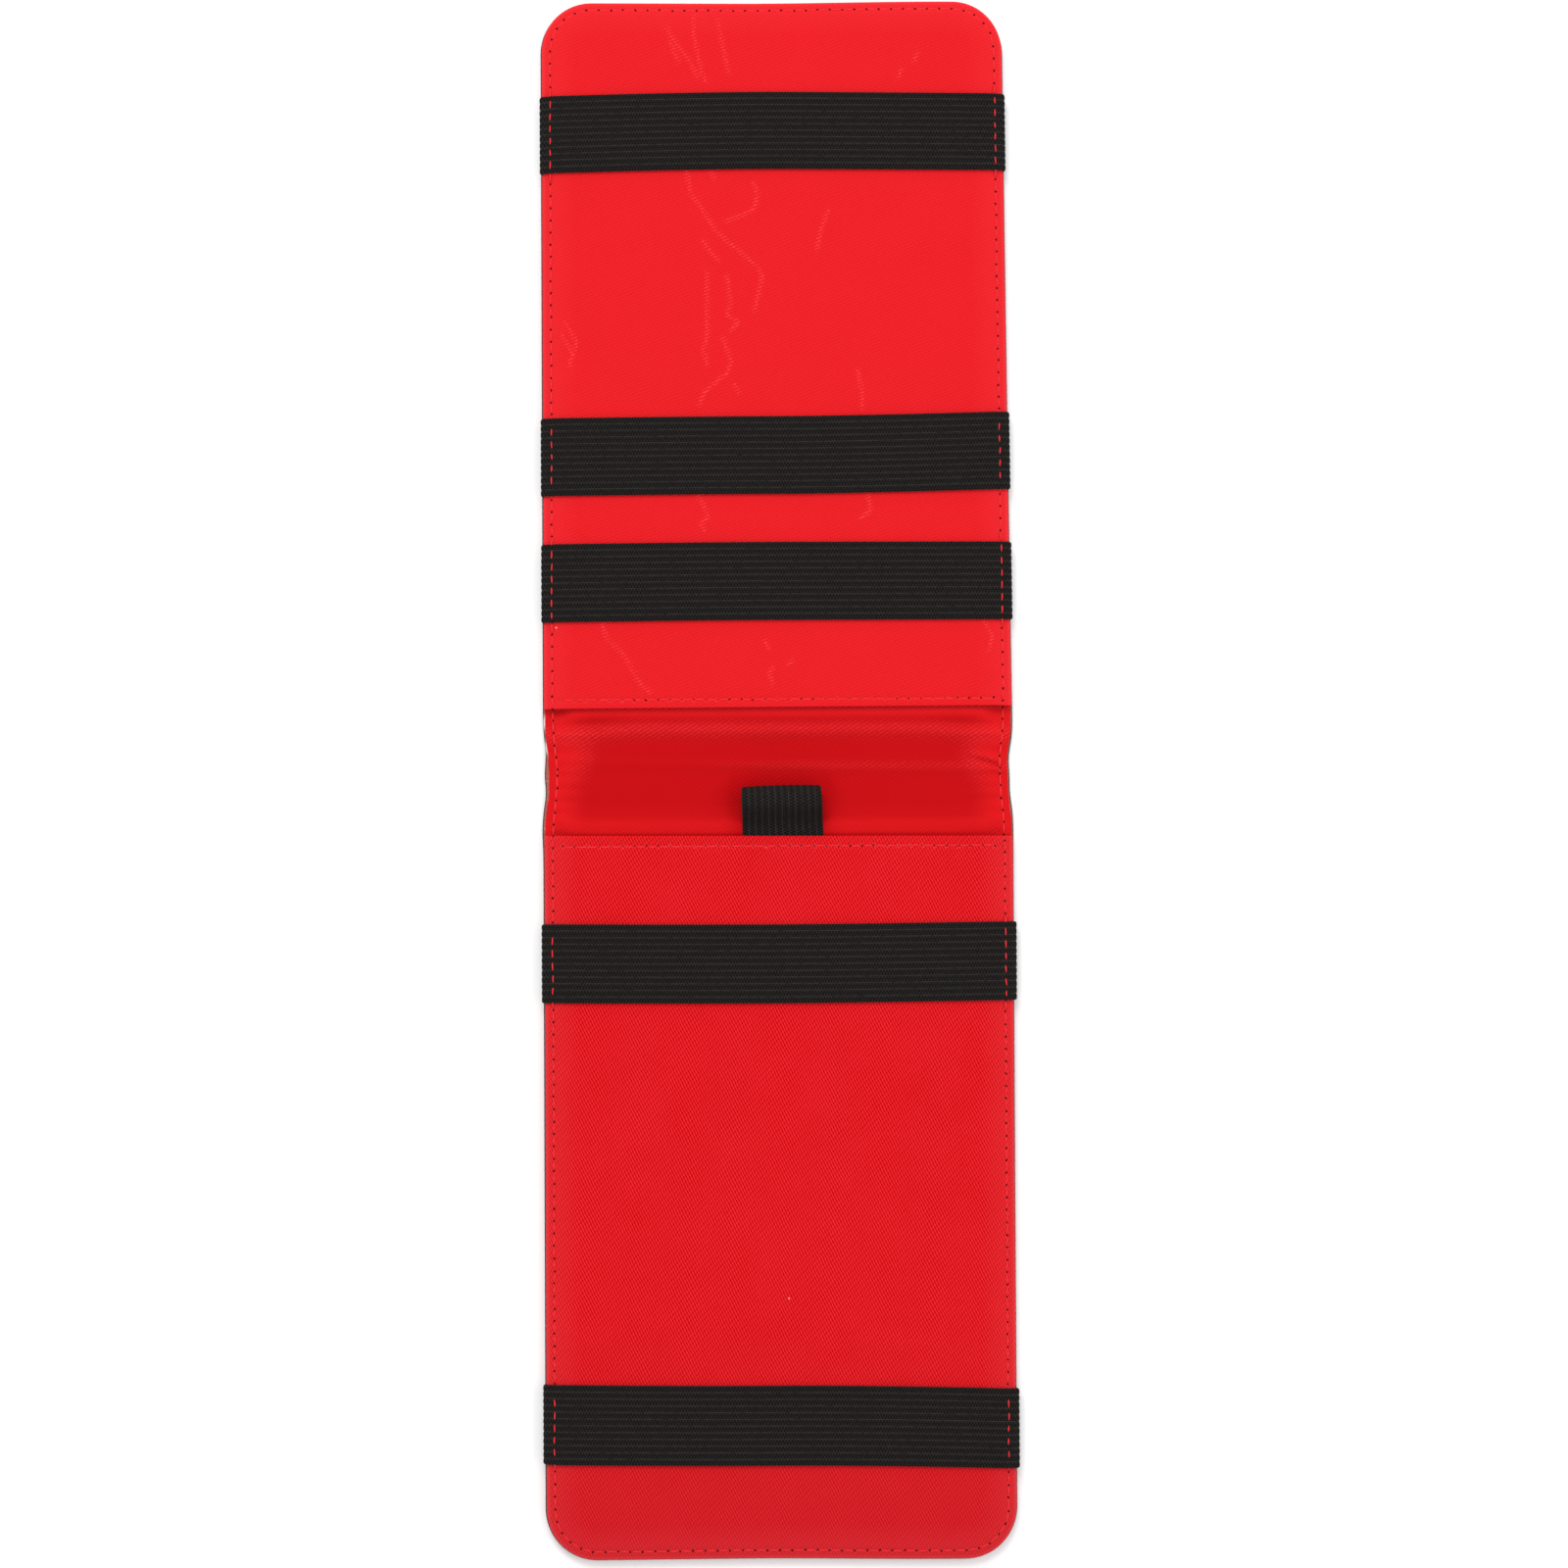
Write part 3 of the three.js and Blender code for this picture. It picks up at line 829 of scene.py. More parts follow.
spineLook = {
    "sideRise": 0.8,  # the lining stands up beside its stitched sides
    "ridgeY": 10.9,
    "ridge": 1.0,
    "faintRidgeY": 1.5,
    "faintRidge": 0.28,
    "lowerRise": 1.3,  # it slopes up to the lower pocket's mouth
    "upperRise": 1.3,  # and under the upper one
    "lowerSlit": 0.3,  # it dips again by this share right at the lower mouth
    "upperSlit": 0.0,
    "pucker": 0.35,  # height of the short folds at the right-hand stitching
    "waviness": 0.16,
    "mouthLight": 0.5,  # how much paler the cloth is just below the upper mouth
    "loopShade": 0.5,  # how dark the cloth is close round the pen loop
}
# hollows and bulges of the spine's sides, as (how far in, y, half width)
skinSides = {
    "left": [(0.65, 4.5, 5), (0.65, -5, 4), (-0.2, -15, 4)],
    "right": [(0.95, 3, 5), (0.7, -5, 5)],
}
liningSides = {"left": [(1.15, -1, 9)], "right": [(0.95, 3, 5.5), (0.7, -5, 5)]}


def pulledIn(y, x, sides):
    # how far in the spine's side is at y: a sum of bells
    left = sum(amount * bell(y, centre, width) for amount, centre, width in sides["left"])
    right = sum(amount * bell(y, centre, width) for amount, centre, width in sides["right"])
    return np.where(x < 0, left, right)


def ridgeLine(x):
    # the strong ridge bows down towards the stitched sides
    return spineLook["ridgeY"] - 1.6 * smoothStep(np.abs(x), 34, 56)


def creaseAt(x):
    # the sharp crease of the right-hand side slants up as it runs in from the stitching
    return 1.6 + 0.34 * (55 - x)


def puckers(x, y):
    # short folds running in from the right-hand stitching, fading inwards: a sharp crease
    # between two rounded folds, and a third fold below
    reach = smoothStep(x, 45, 53) * (1 - smoothStep(x, 56.0, 57.3))
    crease = creaseAt(x)
    folds = bell(y, crease + 1.1, 0.8) - 1.2 * bell(y, crease, 0.45) + bell(y, crease - 1.2, 0.8)
    return reach * (folds + 0.5 * bell(y, -4.5 - 0.2 * (55 - x), 1.2))


def spineHeight(x, y):
    # the soft lining between the pockets: a hollow with a raised rim at its stitched sides, a
    # ridge below the upper pocket, a second faint one, and a slope up to the lower pocket
    inside = 1 - smoothStep(np.abs(y), 12.8, 16.0)
    sideRim = smoothStep(np.abs(x), 43, 55) * (1 - smoothStep(np.abs(x), 55.6, 57.4))
    z = spineLook["ridge"] * bell(y, ridgeLine(x), 2.2)
    z += spineLook["faintRidge"] * bell(y, spineLook["faintRidgeY"] - 0.02 * x, 1.3)
    z += spineLook["sideRise"] * sideRim
    z += spineLook["pucker"] * puckers(x, y)
    z += 0.1 * sideRim * np.sin(y * 2.03 + 0.6)
    z += spineLook["waviness"] * slowWaves(x, y, 11, 22)
    return np.maximum(z * inside, -0.1)


def slitShare(y):
    # how deep the dip at the mouth is, as a share of the slope up to it
    return np.where(y < 0, spineLook["lowerSlit"], spineLook["upperSlit"])


def outsideLoop(x, y):
    # distance from the pen loop's outline in the plan
    across = np.maximum(loopLow[0] - x, x - loopHigh[0])
    along = np.maximum(loopLow[1] - y, y - loopHigh[1])
    return np.hypot(np.maximum(across, 0), np.maximum(along, 0))


def liningTopAt(x, y):
    # height of the base lining: soft over the spine, flat on the skin round the covers' edges,
    # and raised over the stiffener board
    d = edgeDistance(x, np.abs(y))
    inward = np.abs(y) - cover["mouthY"]
    raised = smoothStep(np.minimum(d, inward), 3.1, 3.6)
    rise = cover["raisedLining"] - cover["flatLining"]
    slope = spineLook["lowerRise"] * smoothStep(-y, 8, 14.0)
    slope = slope + spineLook["upperRise"] * smoothStep(y, 11.5, 14.5)
    slit = 1 - slitShare(y) * bell(np.abs(y), cover["mouthY"] + 0.1, 0.5)
    slope = slope * slit * smoothStep(d, 3.2, 8)
    return cover["flatLining"] + rise * raised + slope * (1 - raised) + spineHeight(x, y)


def wholeLengthGrid(inset, step):
    # a grid from the middle of the spine to the cover's far end
    halfWidth = cover["halfWidth"] - inset
    columns = spacedFromEdges(-halfWidth, halfWidth, step, depth=5.0, count=16)
    farY = cover["farY"] - inset
    cornerY = farY - (cover["corner"] - inset)
    spinePart = np.insert(np.arange(0, cover["mouthY"] + 4.5, 0.45), 1, 0.02)
    coverPart = np.arange(spinePart[-1] + 4, cornerY, 4)
    turn = np.linspace(0, math.pi / 2, 20)
    arc = cornerY + (cover["corner"] - inset) * np.sin(turn)
    y, columns = np.meshgrid(np.concatenate([spinePart, coverPart, arc]), columns, indexing="ij")
    return columns * halfWidthAt(y, inset) / halfWidth, y


bendReach = 2.0  # how far on each side of its fold line a reach is worked out; no sheet is turned


def bendAtFold(made, word, side):
    # works out the reach round the fold line, its height and the bodies on each side, but only
    # bakes the sheet's transform; the sheet doesn't turn
    near = side * (foldY - bendReach) * mm
    far = side * (foldY + bendReach) * mm
    height = frame["joints"][0]["pos_m"][2]
    bodies = (word + "_cover", "spine")
    points = ((0, far, height), (0, near, height))
    if side > 0:
        bodies, points = bodies[::-1], points[::-1]
    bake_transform(made)


def liningSheet(word, side):
    # The lining's top is liningTopAt, and its underside lies a little lower, never in the skin.
    # The painted highlights and painted shade of the cloth are sums of bells and S curves round the
    # ridges, the sides, the mouths and the pen loop.
    inset = cover["clothInset"] + 0.1
    x, y = wholeLengthGrid(inset, 1.2)
    x = x * (1 - pulledIn(side * y, x, liningSides) / cover["halfWidth"])
    top = liningTopAt(x, side * y)
    bottom = np.maximum(top - 0.35, cover["skinTop"] + 0.02)
    d = edgeDistance(x, y) - pulledIn(side * y, x, liningSides)
    top = top - 0.15 * (1 - np.clip((d - inset) / 0.3, 0, 1)) ** 2
    far = np.full_like(x, 1000.0)
    seam = np.stack([y - cover["mouthY"], d, far], axis=-1)
    place = side * y
    edgeX = 52.0 - 2.5 * bell(place, 5, 7) + 1.0 * bell(place, -4, 5)
    sides = smoothStep(np.abs(x), edgeX - 5.0, edgeX + 3.5)
    ridge = bell(place, ridgeLine(x), 2.2)
    # painted highlights: paler bands along the ridges, beside the stitched sides, over the
    # right-hand folds and just below the upper mouth
    lit = 0.85 * ridge * (1 - 0.25 * bell(x, 20, 25))
    lit += 0.45 * bell(place, spineLook["faintRidgeY"], 1.3) * smoothStep(x, -25, 5)
    lit += 0.5 * bell(np.abs(x), edgeX - 1.0, 3.0) * bell(place, 3, 7)
    creaseReach = smoothStep(x, 46, 53) * (1 - smoothStep(x, 55.2, 56.2))
    lit += 0.5 * bell(place, creaseAt(x) + 1.0, 0.8) * creaseReach
    lit *= 1 - smoothStep(y, 13, 16)
    lit += spineLook["mouthLight"] * bell(place, cover["mouthY"] - 0.2, 0.85)
    # painted shade: darker in the hollow, at the lower mouth's slit, close round the pen loop and
    # in the right-hand crease
    paintedShade = 0.8 - 0.35 * ridge - 0.45 * smoothStep(-place, 10.5, 13.5)
    paintedShade = (1 - 0.85 * sides) * (paintedShade - 0.8 * smoothStep(place, 13, 15.5))
    paintedShade += 1.5 * slitShare(place) * bell(y, cover["mouthY"] + 0.1, 0.35)
    paintedShade += spineLook["loopShade"] * bell(outsideLoop(x, place), 0, 2.8)
    paintedShade += 0.75 * bell(place, creaseAt(x), 0.42) * creaseReach
    paintedShade = paintedShade * (1 - smoothStep(y, 17, 18))
    hem = np.stack([far, far, far], axis=-1)
    facts = {"seam": seam, "hem": hem, "wearAndHighlight": lit, "shade": np.clip(paintedShade, 0, 1)}
    made = twoFacedSheet(word + "_lining_sheet", x, side * y, top, bottom, spineCloth, facts)
    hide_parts(word + "_base_lining", "spine_lining")
    bendAtFold(made, word, side)


skinLook = {
    "edgeRound": 0.32,
    "groove": 0.28,  # depth of the seam's groove on the outside
    "curl": 0.4,  # how far its sides curl up beside the spine
}


def skinSheet(word, side):
    # flat above and below, with rounded edges, a groove under the seam and wavy, curled sides
    x, y = wholeLengthGrid(0.0, 2.0)
    d = edgeDistance(x, y)
    outward = smoothStep(np.abs(x), 54, 59) * (1 - smoothStep(y, 14, 17))
    x = x * (1 - pulledIn(side * y, x, skinSides) / cover["halfWidth"])
    curl = skinLook["curl"] * outward * (0.6 + 0.4 * np.sin(side * y * 0.6 + np.sign(x)))
    rounding = quarterRound(skinLook["edgeRound"], np.clip(d / 0.35, 0, 1))
    groove = skinLook["groove"] * bell(d, sewing["inset"], 0.45)
    top = cover["skinTop"] - rounding + curl
    bottom = 0.02 + rounding + groove + curl * 0.8
    # painted glints: pale patches on the left edge beside the spine, where the glossy skin curls up
    paintedGlints = (x < 0) * (bell(side * y, 12.5, 1.6) + bell(side * y, 6.5, 1.4)) * bell(d, 0.4, 0.3)
    facts = {"wearAndHighlight": paintedGlints, "backingAndReflection": smoothStep(d, 0.15, 0.4)}
    name = word + "_outer_skin_sheet"
    made = twoFacedSheet(name, x, side * y, top, bottom, leatherette, facts)
    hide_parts(word + "_outer_skin", "spine_outer_skin")
    bendAtFold(made, word, side)


for word, side in (("lower", -1), ("upper", 1)):
    liningSheet(word, side)
    skinSheet(word, side)
print("lining and skin made")


def tapeAround(path, out, across, thickness, run):
    # A ribbed tape carried along a path. path holds the tape's mid line (n, 3), out the
    # direction its face looks (n, 3), across the direction of its width (n, 3). Its section is a
    # flat ring: ribs as rounded ridges on both faces, so the offset from the mid line is half
    # the thickness plus the rib's height.
    samples = tape["ribs"] * 8 + 1
    v = np.linspace(-0.5, 0.5, samples)
    rib = np.abs(np.sin(math.pi * tape["ribs"] * (v + 0.5))) ** 0.6
    edge = np.sqrt(np.clip(1 - (2 * np.abs(v)) ** 60, 0, 1))
    half = (0.5 - tape["ribDepth"] * (1 - rib)) * edge + 0.02
    place = np.concatenate([v, v[::-1]]) * tape["width"]
    offset = np.concatenate([half, -half[::-1]])
    section = offset[None, :] * thickness[:, None]
    points = path[:, None, :] + out[:, None, :] * section[..., None]
    points = points + across[:, None, :] * place[None, :, None]
    rows, columns = section.shape
    quads = gridQuads(rows, columns, closeColumns=True)
    cap = np.arange(samples - 1)
    far = columns - 1 - cap
    startCap = np.stack([cap, far, far - 1, cap + 1], axis=-1)
    endCap = startCap[:, ::-1] + (rows - 1) * columns
    spots = np.zeros((rows, columns, 3))
    spots[..., 0], spots[..., 1] = run[:, None], place
    faces = np.concatenate([quads, startCap, endCap])
    return points.reshape(-1, 3), faces, spots.reshape(-1, 3)


def outwardAlong(path, reference):
    # the direction at right angles to the path's tangents, by central differences, and to the
    # reference
    tangent = np.gradient(path, axis=0)
    tangent /= np.linalg.norm(tangent, axis=1, keepdims=True)
    out = np.cross(tangent, np.broadcast_to(reference, path.shape))
    return out / np.linalg.norm(out, axis=1, keepdims=True)


def resampled(path, step):
    # the path again in steps of one length, and how far along it each point is
    gaps = np.linalg.norm(np.diff(path, axis=0), axis=1)
    run = np.concatenate([[0], np.cumsum(gaps)])
    at = np.insert(np.linspace(0, run[-1], int(run[-1] / step) + 1), 1, 0.02)
    return np.stack([np.interp(at, run, path[:, k]) for k in range(3)], axis=1), at


bandPath = {
    "gap": 0.05,  # clearance under the tape and outside its bend
    "bendWidth": 1.3,  # the bend over the cover's edge
    "bendDrop": 0.75,
    "underWidth": 0.7,  # the bend back underneath
    "underRise": 0.55,
    "tailLength": 2.8,
    "hump": 0.10,  # how much higher its middle lies
    "step": 0.55,
}


def bandHalf(band, hand):
    # from the middle of the band out to the edge, round it by two quarters of an ellipse, and a
    # short way back underneath
    side = 1 if band["y"] > 0 else -1
    half = tape["thickness"] / 2
    outerX = cover["halfWidth"] + tape["overhang"] - half - bandPath["gap"]
    if side > 0:
        outerX -= tape["upperTighter"]
    endX = outerX - bandPath["bendWidth"]
    xs = np.linspace(0, endX, 60)
    flat = clothTopAt(hand * xs, np.full_like(xs, abs(band["y"])), side) + half + 0.03
    flat += bandPath["hump"] * bell(xs, 0, 60)
    turn = np.linspace(0, math.pi / 2, 12)[1:]
    topZ = flat[-1]
    tailZ = cover["flatLining"] + half + bandPath["gap"]
    bendX = endX + (outerX - endX) * np.sin(turn)
    bendZ = topZ - bandPath["bendDrop"] * (1 - np.cos(turn))
    under = np.linspace(math.pi / 2, math.pi, 10)[1:]
    underX = outerX - bandPath["underWidth"] + bandPath["underWidth"] * np.sin(under)
    underZ = tailZ + bandPath["underRise"] * (1 + np.cos(under))
    tailX = np.linspace(underX[-1], outerX - bandPath["tailLength"], 6)[1:]
    x = np.concatenate([xs, bendX, underX, tailX]) * hand
    z = np.concatenate([flat, bendZ, underZ, np.full(5, tailZ)])
    path = np.stack([x, bandMiddle(band, x), z], axis=-1)
    path, run = resampled(path, bandPath["step"])
    across = np.tile([0.0, 1.0, 0.0], (len(path), 1))
    out = -hand * outwardAlong(path, (0.0, 1.0, 0.0))
    thickness = np.full(len(path), tape["thickness"])
    points, faces, spots = tapeAround(path, out, across, thickness, run * hand)
    if hand < 0:
        faces = faces[:, ::-1]
    handWord = "left" if hand < 0 else "right"
    made = makeMesh(f"{band['name']}_{handWord}_half", points, faces, elastic, {"tape": spots})
    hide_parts(band["name"] + "_span", f"{band['name']}_{handWord}_end")
    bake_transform(made)


for band in bands:
    for hand in (-1, 1):
        bandHalf(band, hand)
print("elastic bands made")


penLoopLook = {
    "thinner": 0.95,  # its tape is pulled a little thinner than the bands
    "rootRise": 0.45,  # gap between its two layers at the root
    "tipReach": 3.0,  # length of the rounded tip
    "tuckedLength": 3.0,
    "pinch": 0.6,  # how much of its thickness is left where it is sewn in
    "slant": 0.022,
    "tipBow": 0.3,
    "lean": 0.55,  # how far the root sits to the right of the tip
    "step": 0.3,
}


def penLoop():
    # The tape comes out from under the lower pocket, lies along the spine, turns over at the tip
    # and goes back over itself. Its mid line: flat, a rounded end, then the upper run.
    centreX = (loopLow[0] + loopHigh[0]) / 2
    mouth, tipReach = -cover["mouthY"], penLoopLook["tipReach"]
    thickness = tape["thickness"] * penLoopLook["thinner"]
    half = thickness / 2
    bottom = cover["flatLining"] + half + 0.1
    top = loopHigh[2] - half
    backY, tipY = loopLow[1] + 1.9, loopHigh[1] - half + 0.27
    tail = cover["mouthY"] + penLoopLook["tuckedLength"]
    arcY = tipY - tipReach
    low = np.array([(-tail, bottom), (backY, bottom), (arcY, bottom + 0.1)])
    turn = np.linspace(-math.pi / 2, math.pi / 2, 22)
    rise = (top - bottom - 0.1) / 2
    tipArcZ = bottom + 0.1 + rise * (1 + np.sin(turn))
    tipArc = np.stack([arcY + tipReach * np.cos(turn), tipArcZ], axis=-1)
    t = np.linspace(0, 1, 22)[1:]
    # back over the top: level at first, then an S curve down to the root
    backLow = bottom + half + penLoopLook["rootRise"]
    s = smoothStep(t, 0.15, 0.95)
    overY = arcY + (mouth + 2.6 - arcY) * t
    overZ = top + (backLow - top) * s
    last = np.array([(mouth + 1.0, backLow - 0.05), (-tail, backLow - 0.1)])
    yz = np.concatenate([low, tipArc, np.stack([overY, overZ], axis=-1), last])
    path = np.stack([np.full(len(yz), centreX), yz[:, 0], yz[:, 1]], axis=-1)
    path, run = resampled(path, penLoopLook["step"])
    smooth = np.array([0.25, 0.5, 0.25])
    for _ in range(6):
        for axis in (1, 2):
            path[1:-1, axis] = np.convolve(path[:, axis], smooth, mode="same")[1:-1]
    across = np.tile([1.0, 0.0, 0.0], (len(path), 1))
    out = outwardAlong(path, (1.0, 0.0, 0.0))
    pinch = penLoopLook["pinch"] + 0.4 * smoothStep(path[:, 1], mouth - 0.5, mouth + 3.5)
    points, faces, spots = tapeAround(path, out, across, pinch * thickness, run)
    points = points.reshape(len(path), -1, 3)
    # the loop slants and bows towards its tip, and leans and widens towards its root
    offset = points[..., 0] - centreX
    skew = np.clip((points[..., 1] - mouth) / (tipY - mouth), 0, 1)
    points[..., 1] += penLoopLook["slant"] * offset * skew
    points[..., 1] += penLoopLook["tipBow"] * np.cos(offset / 10 * 1.4) * skew - 0.05
    points[..., 0] += (1 - skew) * (penLoopLook["lean"] + 0.025 * offset)
    points = points.reshape(-1, 3)
    made = makeMesh("pen_loop_tape", points, faces[:, ::-1], elastic, {"tape": spots})
    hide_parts("pen_loop", "pen_loop_tail")
    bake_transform(made)


penLoop()
print("pen loop made")


stitchShape = {
    "along": 9,  # rings along a stitch
    "around": 6,  # corners of each ring
    "power": 0.55,  # lower makes it swell sooner
    "endRadius": 0.25,  # share of the full radius at its two ends
    "twist": 3.0,  # how far the plies run on along a stitch
}


def stitchMesh(name, starts, ends, lift, radius, material, flip=1.0):
    # Each stitch is a spindle from start to end. Its centre rises by lift over a half sine raised
    # to a power, and its radius swells the same way, so both ends sink in the cloth.
    along, around = stitchShape["along"], stitchShape["around"]
    count = len(starts)
    t = np.linspace(0.0, 1.0, along)
    swell = np.sin(math.pi * t) ** stitchShape["power"]
    angle = np.linspace(0, math.tau, around, endpoint=False)
    way = ends - starts
    length = np.linalg.norm(way, axis=1, keepdims=True)
    tangent = way / length
    sideways = np.stack([-tangent[:, 1], tangent[:, 0], np.zeros(count)], axis=-1)
    sideways /= np.linalg.norm(sideways, axis=1, keepdims=True)
    upward = np.array([0.0, 0.0, flip])
    centre = starts[:, None, :] + way[:, None, :] * t[None, :, None]
    centre = centre + upward * (swell[None, :, None] * lift[:, None, None])
    endShare = stitchShape["endRadius"]
    size = (radius[:, None] * (endShare + (1 - endShare) * swell[None, :]))[..., None, None]
    ring = sideways[:, None, None, :] * np.cos(angle)[None, None, :, None]
    ring = ring + upward * np.sin(angle)[None, None, :, None]
    points = centre[:, :, None, :] + ring * size
    quads = gridQuads(along, around, closeColumns=True)
    per = along * around
    lids = np.array([[3, 2, 1, 0], [5, 4, 3, 0]])  # two quads close the ring at each end
    lastRing = (along - 1) * around
    one = np.concatenate([quads, lids, lids[:, ::-1] + lastRing])
    faces = (one[None] + (np.arange(count) * per)[:, None, None]).reshape(-1, 4)
    if flip < 0:
        faces = faces[:, ::-1]
    twist = np.zeros((count, along, around, 3))
    twist[..., 0] = (t * stitchShape["twist"])[None, :, None]
    twist[..., 1] = angle[None, None, :]
    return makeMesh(name, points.reshape(-1, 3), faces, material, {"twist": twist.reshape(-1, 3)})


edgeStitches = {
    "sink": 0.12,  # how deep both ends of a stitch lie in the cloth
    "lift": 0.16,
    "liftVaries": (-0.03, 0.05),
    "radius": 0.74,  # share of the thread's own radius
    "trim": 0.1,  # gap at both ends, as a share of the stitch
    "strays": 0.05,  # how far a needle hole strays from its place
    "sway": 0.12,  # how far a stitch over a band slants
}
hemLook = {"sink": 0.12, "lift": 0.15, "liftVaries": (-0.04, 0.05), "radius": 0.75, "trim": 0.1}
sideLook = {"sink": 0.04, "lift": 0.2, "liftVaries": (-0.03, 0.05), "radius": 0.85, "trim": 0.1}
outsideLook = {"height": 0.36, "lift": 0.12, "radius": 0.8, "trim": 0.08}
tackLook = {"inset": 0.5, "points": 15, "zig": 0.45, "sink": 0.25, "lift": 0.12, "radius": 0.2}


def plainStitches(name, starts, ends, look, flip=1.0):
    # red stitches that differ in nothing but how high they rise
    lift = np.full(len(starts), look["lift"])
    if "liftVaries" in look:
        lift = lift + rng.uniform(*look["liftVaries"], len(starts))
    radius = np.full(len(starts), sewing["threadRadius"] * look["radius"])
    trim = look["trim"] * (ends - starts)
    return stitchMesh(name, starts + trim, ends - trim, lift, radius, redThread, flip)


def seamPlaces():
    # the needle's places along the perimeter seam, from its middle to both ends
    count = int(seamLength / sewing["pitch"])
    return (np.arange(count + 1) - count / 2) * sewing["pitch"] + seamLength / 2


def surfaceUnderSeam(x, y, side):
    # the height on which a stitch lies: the cloth's, or the tape's where a band crosses it
    under = inBand(x, y, side, 0.15)
    return clothTopAt(x, y, side) + under * (tape["thickness"] - 0.02), under


def perimeterStitches(word, side):
    # Round the cover at an even pitch. Over a band the stitches stand higher, are a little
    # thinner and shorter, and slant.
    x, y = seamPoint(np.round(seamPlaces() / sewing["pitch"]) * sewing["pitch"])
    z, under = surfaceUnderSeam(x, y, side)
    jitter = rng.normal(0, edgeStitches["strays"], (len(x), 2)) * (1 + under[:, None])
    x, y = x + jitter[:, 0], y + jitter[:, 1]
    points = np.stack([x, side * y, z], axis=-1)
    starts, ends = points[:-1].copy(), points[1:].copy()
    middle = (under[:-1] + under[1:]) / 2
    starts[:, 2] -= edgeStitches["sink"] - 0.04 * middle
    ends[:, 2] -= edgeStitches["sink"] - 0.04 * middle
    lift = edgeStitches["lift"] + 0.04 * middle
    lift = lift + rng.uniform(*edgeStitches["liftVaries"], len(starts))
    radius = sewing["threadRadius"] * (edgeStitches["radius"] - 0.06 * middle)
    trim = (edgeStitches["trim"] + 0.05 * middle)[:, None] * (ends - starts)
    sway = rng.uniform(-edgeStitches["sway"], edgeStitches["sway"], len(starts)) * middle
    sway = sway[:, None] * np.array([1.0, 0.0, 0.0])
    starts, ends = starts + sway + trim, ends - sway - trim
    made = stitchMesh(word + "_perimeter_stitches", starts, ends, lift, radius, redThread)
    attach(made, word + "_cover")
    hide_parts(word + "_perimeter_thread")


def hemStitches(word, side):
    # along the pocket's mouth at an even pitch
    reach = cover["halfWidth"] - sewing["inset"] - 1.2
    first = math.ceil(-reach / sewing["hemPitch"])
    edges = np.arange(first, -first + 1) * sewing["hemPitch"]
    y = np.full(len(edges), cover["mouthY"] + hemInsetOf(side))
    z = clothTopAt(edges, y, side)
    y = y + rng.normal(0, edgeStitches["strays"], len(edges))
    points = np.stack([edges, side * y, z - hemLook["sink"]], axis=-1)
    made = plainStitches(word + "_hem_stitches", points[:-1], points[1:], hemLook)
    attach(made, word + "_cover")
    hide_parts(word + "_hem_thread")


def spineStitches(word, side):
    # both sides of one half of the spine, from the pocket's mouth to the middle
    count = int(cover["mouthY"] / sewing["pitch"])
    edges = cover["mouthY"] - sewing["pitch"] * np.arange(count + 1)
    if side > 0:
        edges = np.append(edges, -edges[-1])
    allStarts, allEnds = [], []
    for hand in (-1, 1):
        x = hand * (cover["halfWidth"] - sewing["inset"])
        x = x - hand * pulledIn(side * edges, np.full(len(edges), x), liningSides)
        z = liningTopAt(x, side * edges)
        line = np.stack([x, side * edges, z - sideLook["sink"]], axis=-1)
        allStarts.append(line[:-1])
        allEnds.append(line[1:])
    starts, ends = np.concatenate(allStarts), np.concatenate(allEnds)
    made = plainStitches(word + "_spine_stitches", starts, ends, sideLook)
    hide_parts("spine_left_thread", "spine_right_thread")
    bendAtFold(made, word, side)


def underStitches(word, side):
    # the same seam seen from outside, in a groove of the skin
    x, y = seamPoint(seamPlaces())
    points = np.stack([x, side * y, np.full(len(x), outsideLook["height"])], axis=-1)
    name = word + "_outside_stitches"
    made = plainStitches(name, points[:-1], points[1:], outsideLook, flip=-1.0)
    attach(made, word + "_cover")


def penLoopTack():
    # a row of short black stitches, in zigzag across the root of the loop
    low, high = spanOf("pen_loop_tack")
    edges = np.linspace(low[0] + tackLook["inset"], high[0] - tackLook["inset"], tackLook["points"])
    y = (low[1] + high[1]) / 2
    zig = np.where(np.arange(len(edges)) % 2 == 0, -tackLook["zig"], tackLook["zig"])
    points = np.stack([edges, y + zig, np.full(len(edges), low[2] - tackLook["sink"])], axis=-1)
    starts, ends = points[:-1], points[1:]
    lift = np.full(len(starts), tackLook["lift"])
    radius = np.full(len(starts), tackLook["radius"])
    made = stitchMesh("pen_loop_tack_stitches", starts, ends, lift, radius, blackThread)
    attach(made, "spine")
    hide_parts("pen_loop_tack")


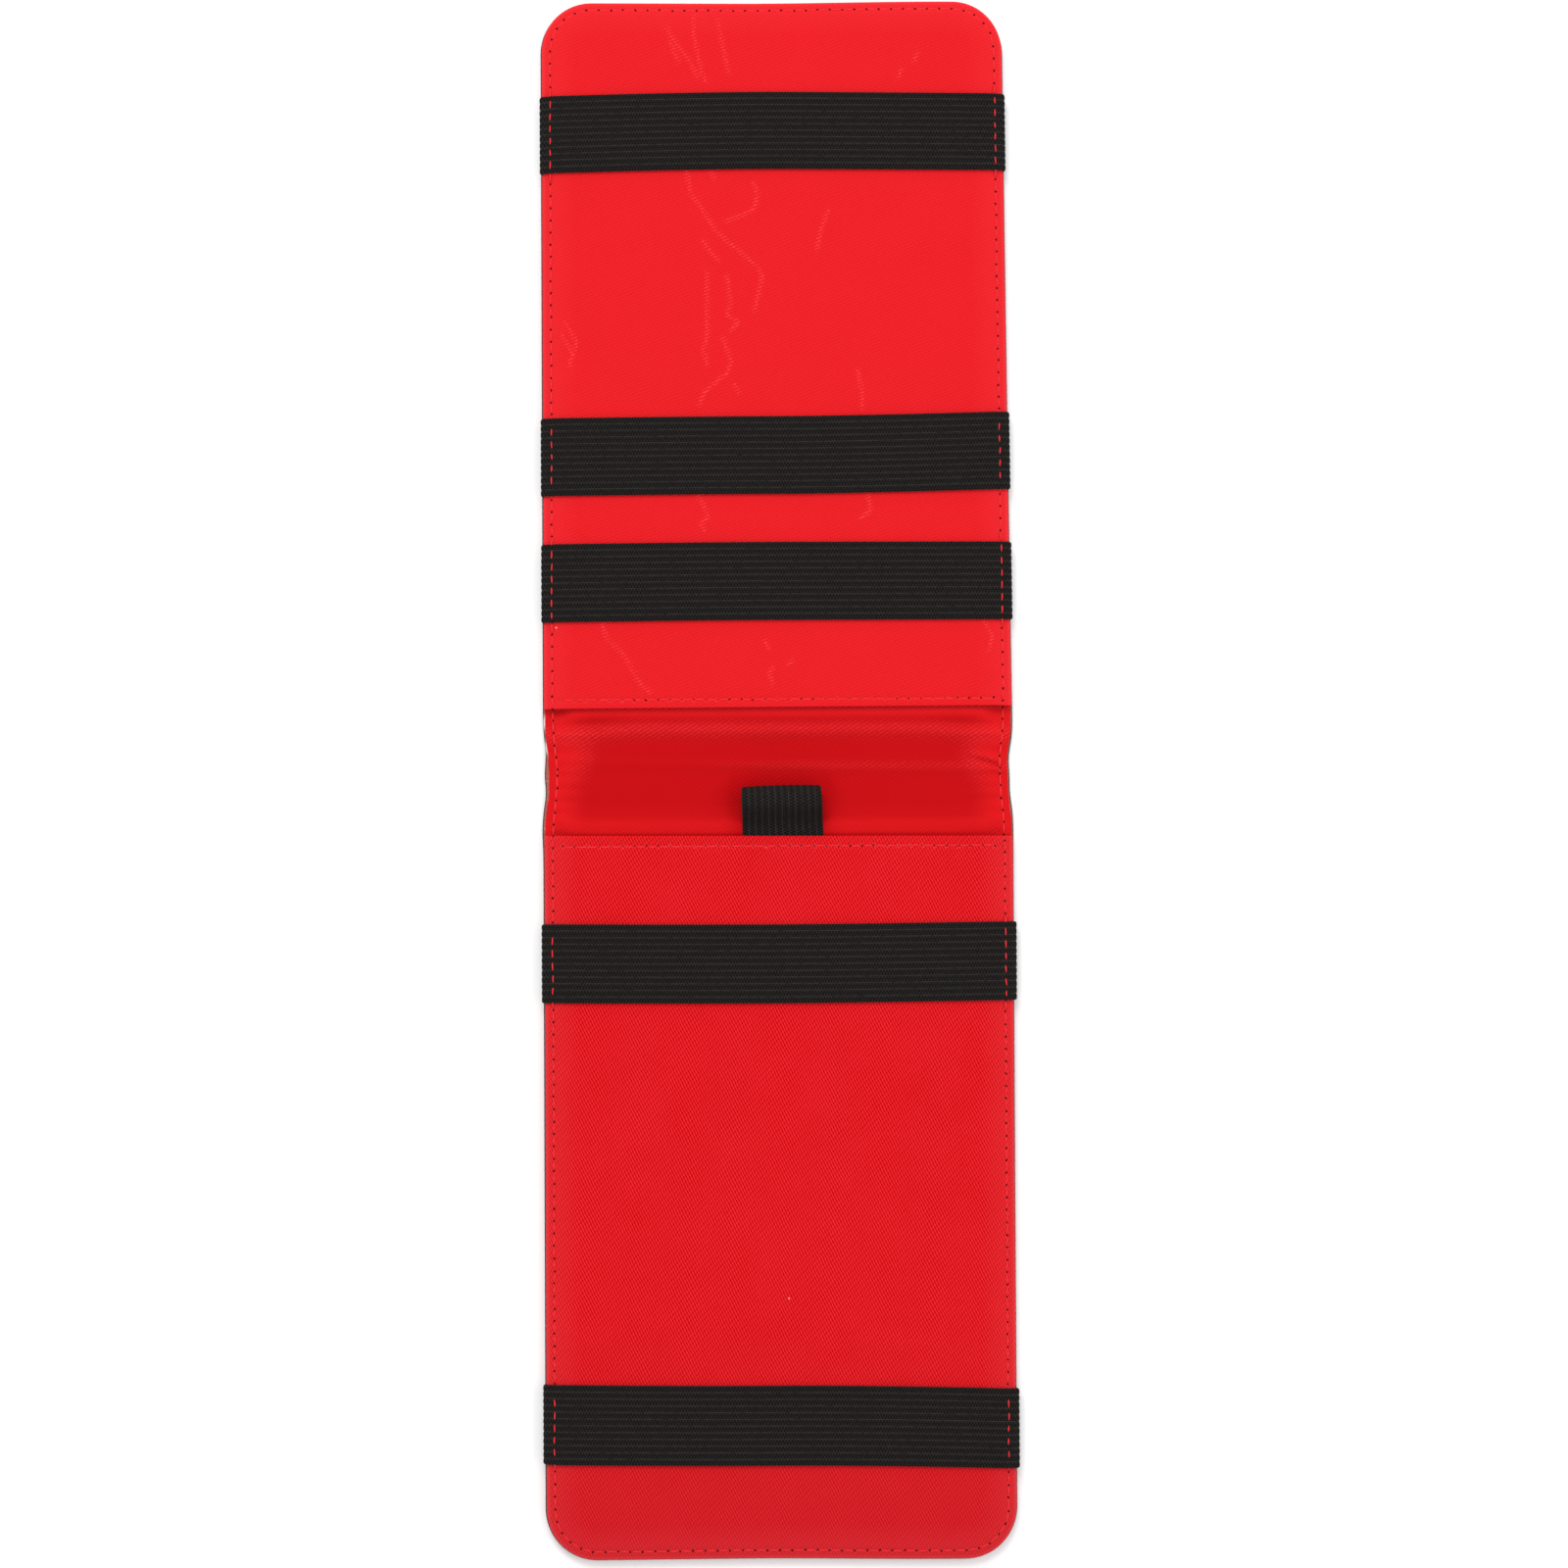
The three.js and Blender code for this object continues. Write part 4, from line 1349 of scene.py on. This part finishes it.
for word, side in (("lower", -1), ("upper", 1)):
    perimeterStitches(word, side)
    hemStitches(word, side)
    spineStitches(word, side)
    underStitches(word, side)
penLoopTack()
print("stitches made")


floorLook = {"size": 3000.0, "drop": 0.25, "colour": (0.93, 0.93, 0.93, 1), "roughness": 0.9}


def makeFloor():
    # a plain square, a little below the wallet
    side = np.linspace(-floorLook["size"], floorLook["size"], 3)
    x, y = np.meshgrid(side, side)
    material, tree = newMaterial("paleFloor")
    values = {"Base Color": floorLook["colour"], "Roughness": floorLook["roughness"]}
    fillInputs(tree, tree.nodes["Principled BSDF"], {**values, "Specular IOR Level": 0.0})
    points = np.stack([x, y, np.full_like(x, -floorLook["drop"])], axis=-1).reshape(-1, 3)
    floor = makeMesh("floor", points, gridQuads(3, 3), material)


def makeLight(name, place, size, power):
    # a round soft lamp that shines at the middle of the wallet
    lamp = bpy.data.lights.new(name, "AREA")
    lamp.shape = "DISK"
    lamp.size = size
    lamp.energy = power
    made = bpy.data.objects.new(name, lamp)
    made.location = place
    x, y, z = place
    made.rotation_euler = (math.atan2(math.hypot(x, y), z), 0, math.atan2(x, -y))
    bpy.context.scene.collection.objects.link(made)


cameraLook = {
    "lens": 91.1,
    "place": (-0.0369, -0.0636, 1.0008),  # metres
    "turned": (3.48, -2.19, -0.41),  # degrees about x, y and z
}


def makeCamera():
    lens = bpy.data.cameras.new("camera")
    lens.sensor_width = 36
    lens.lens = cameraLook["lens"]
    lens.clip_end = 20
    made = bpy.data.objects.new("camera", lens)
    made.location = cameraLook["place"]
    made.rotation_euler = [math.radians(degrees) for degrees in cameraLook["turned"]]
    bpy.context.scene.collection.objects.link(made)
    bpy.context.scene.camera = made


makeFloor()
makeLight("softTop", (-0.3, 1.1, 1.5), 1.0, 17)
makeLight("softSide", (1.1, -0.1, 1.3), 1.0, 4)
world = bpy.data.worlds.new("softRoom")
world.use_nodes = True
world.node_tree.nodes["Background"].inputs["Color"].default_value = (1, 1, 1, 1)
world.node_tree.nodes["Background"].inputs["Strength"].default_value = 0.9
bpy.context.scene.world = world
bpy.context.scene.view_settings.view_transform = "Standard"
makeCamera()
print("stage made")
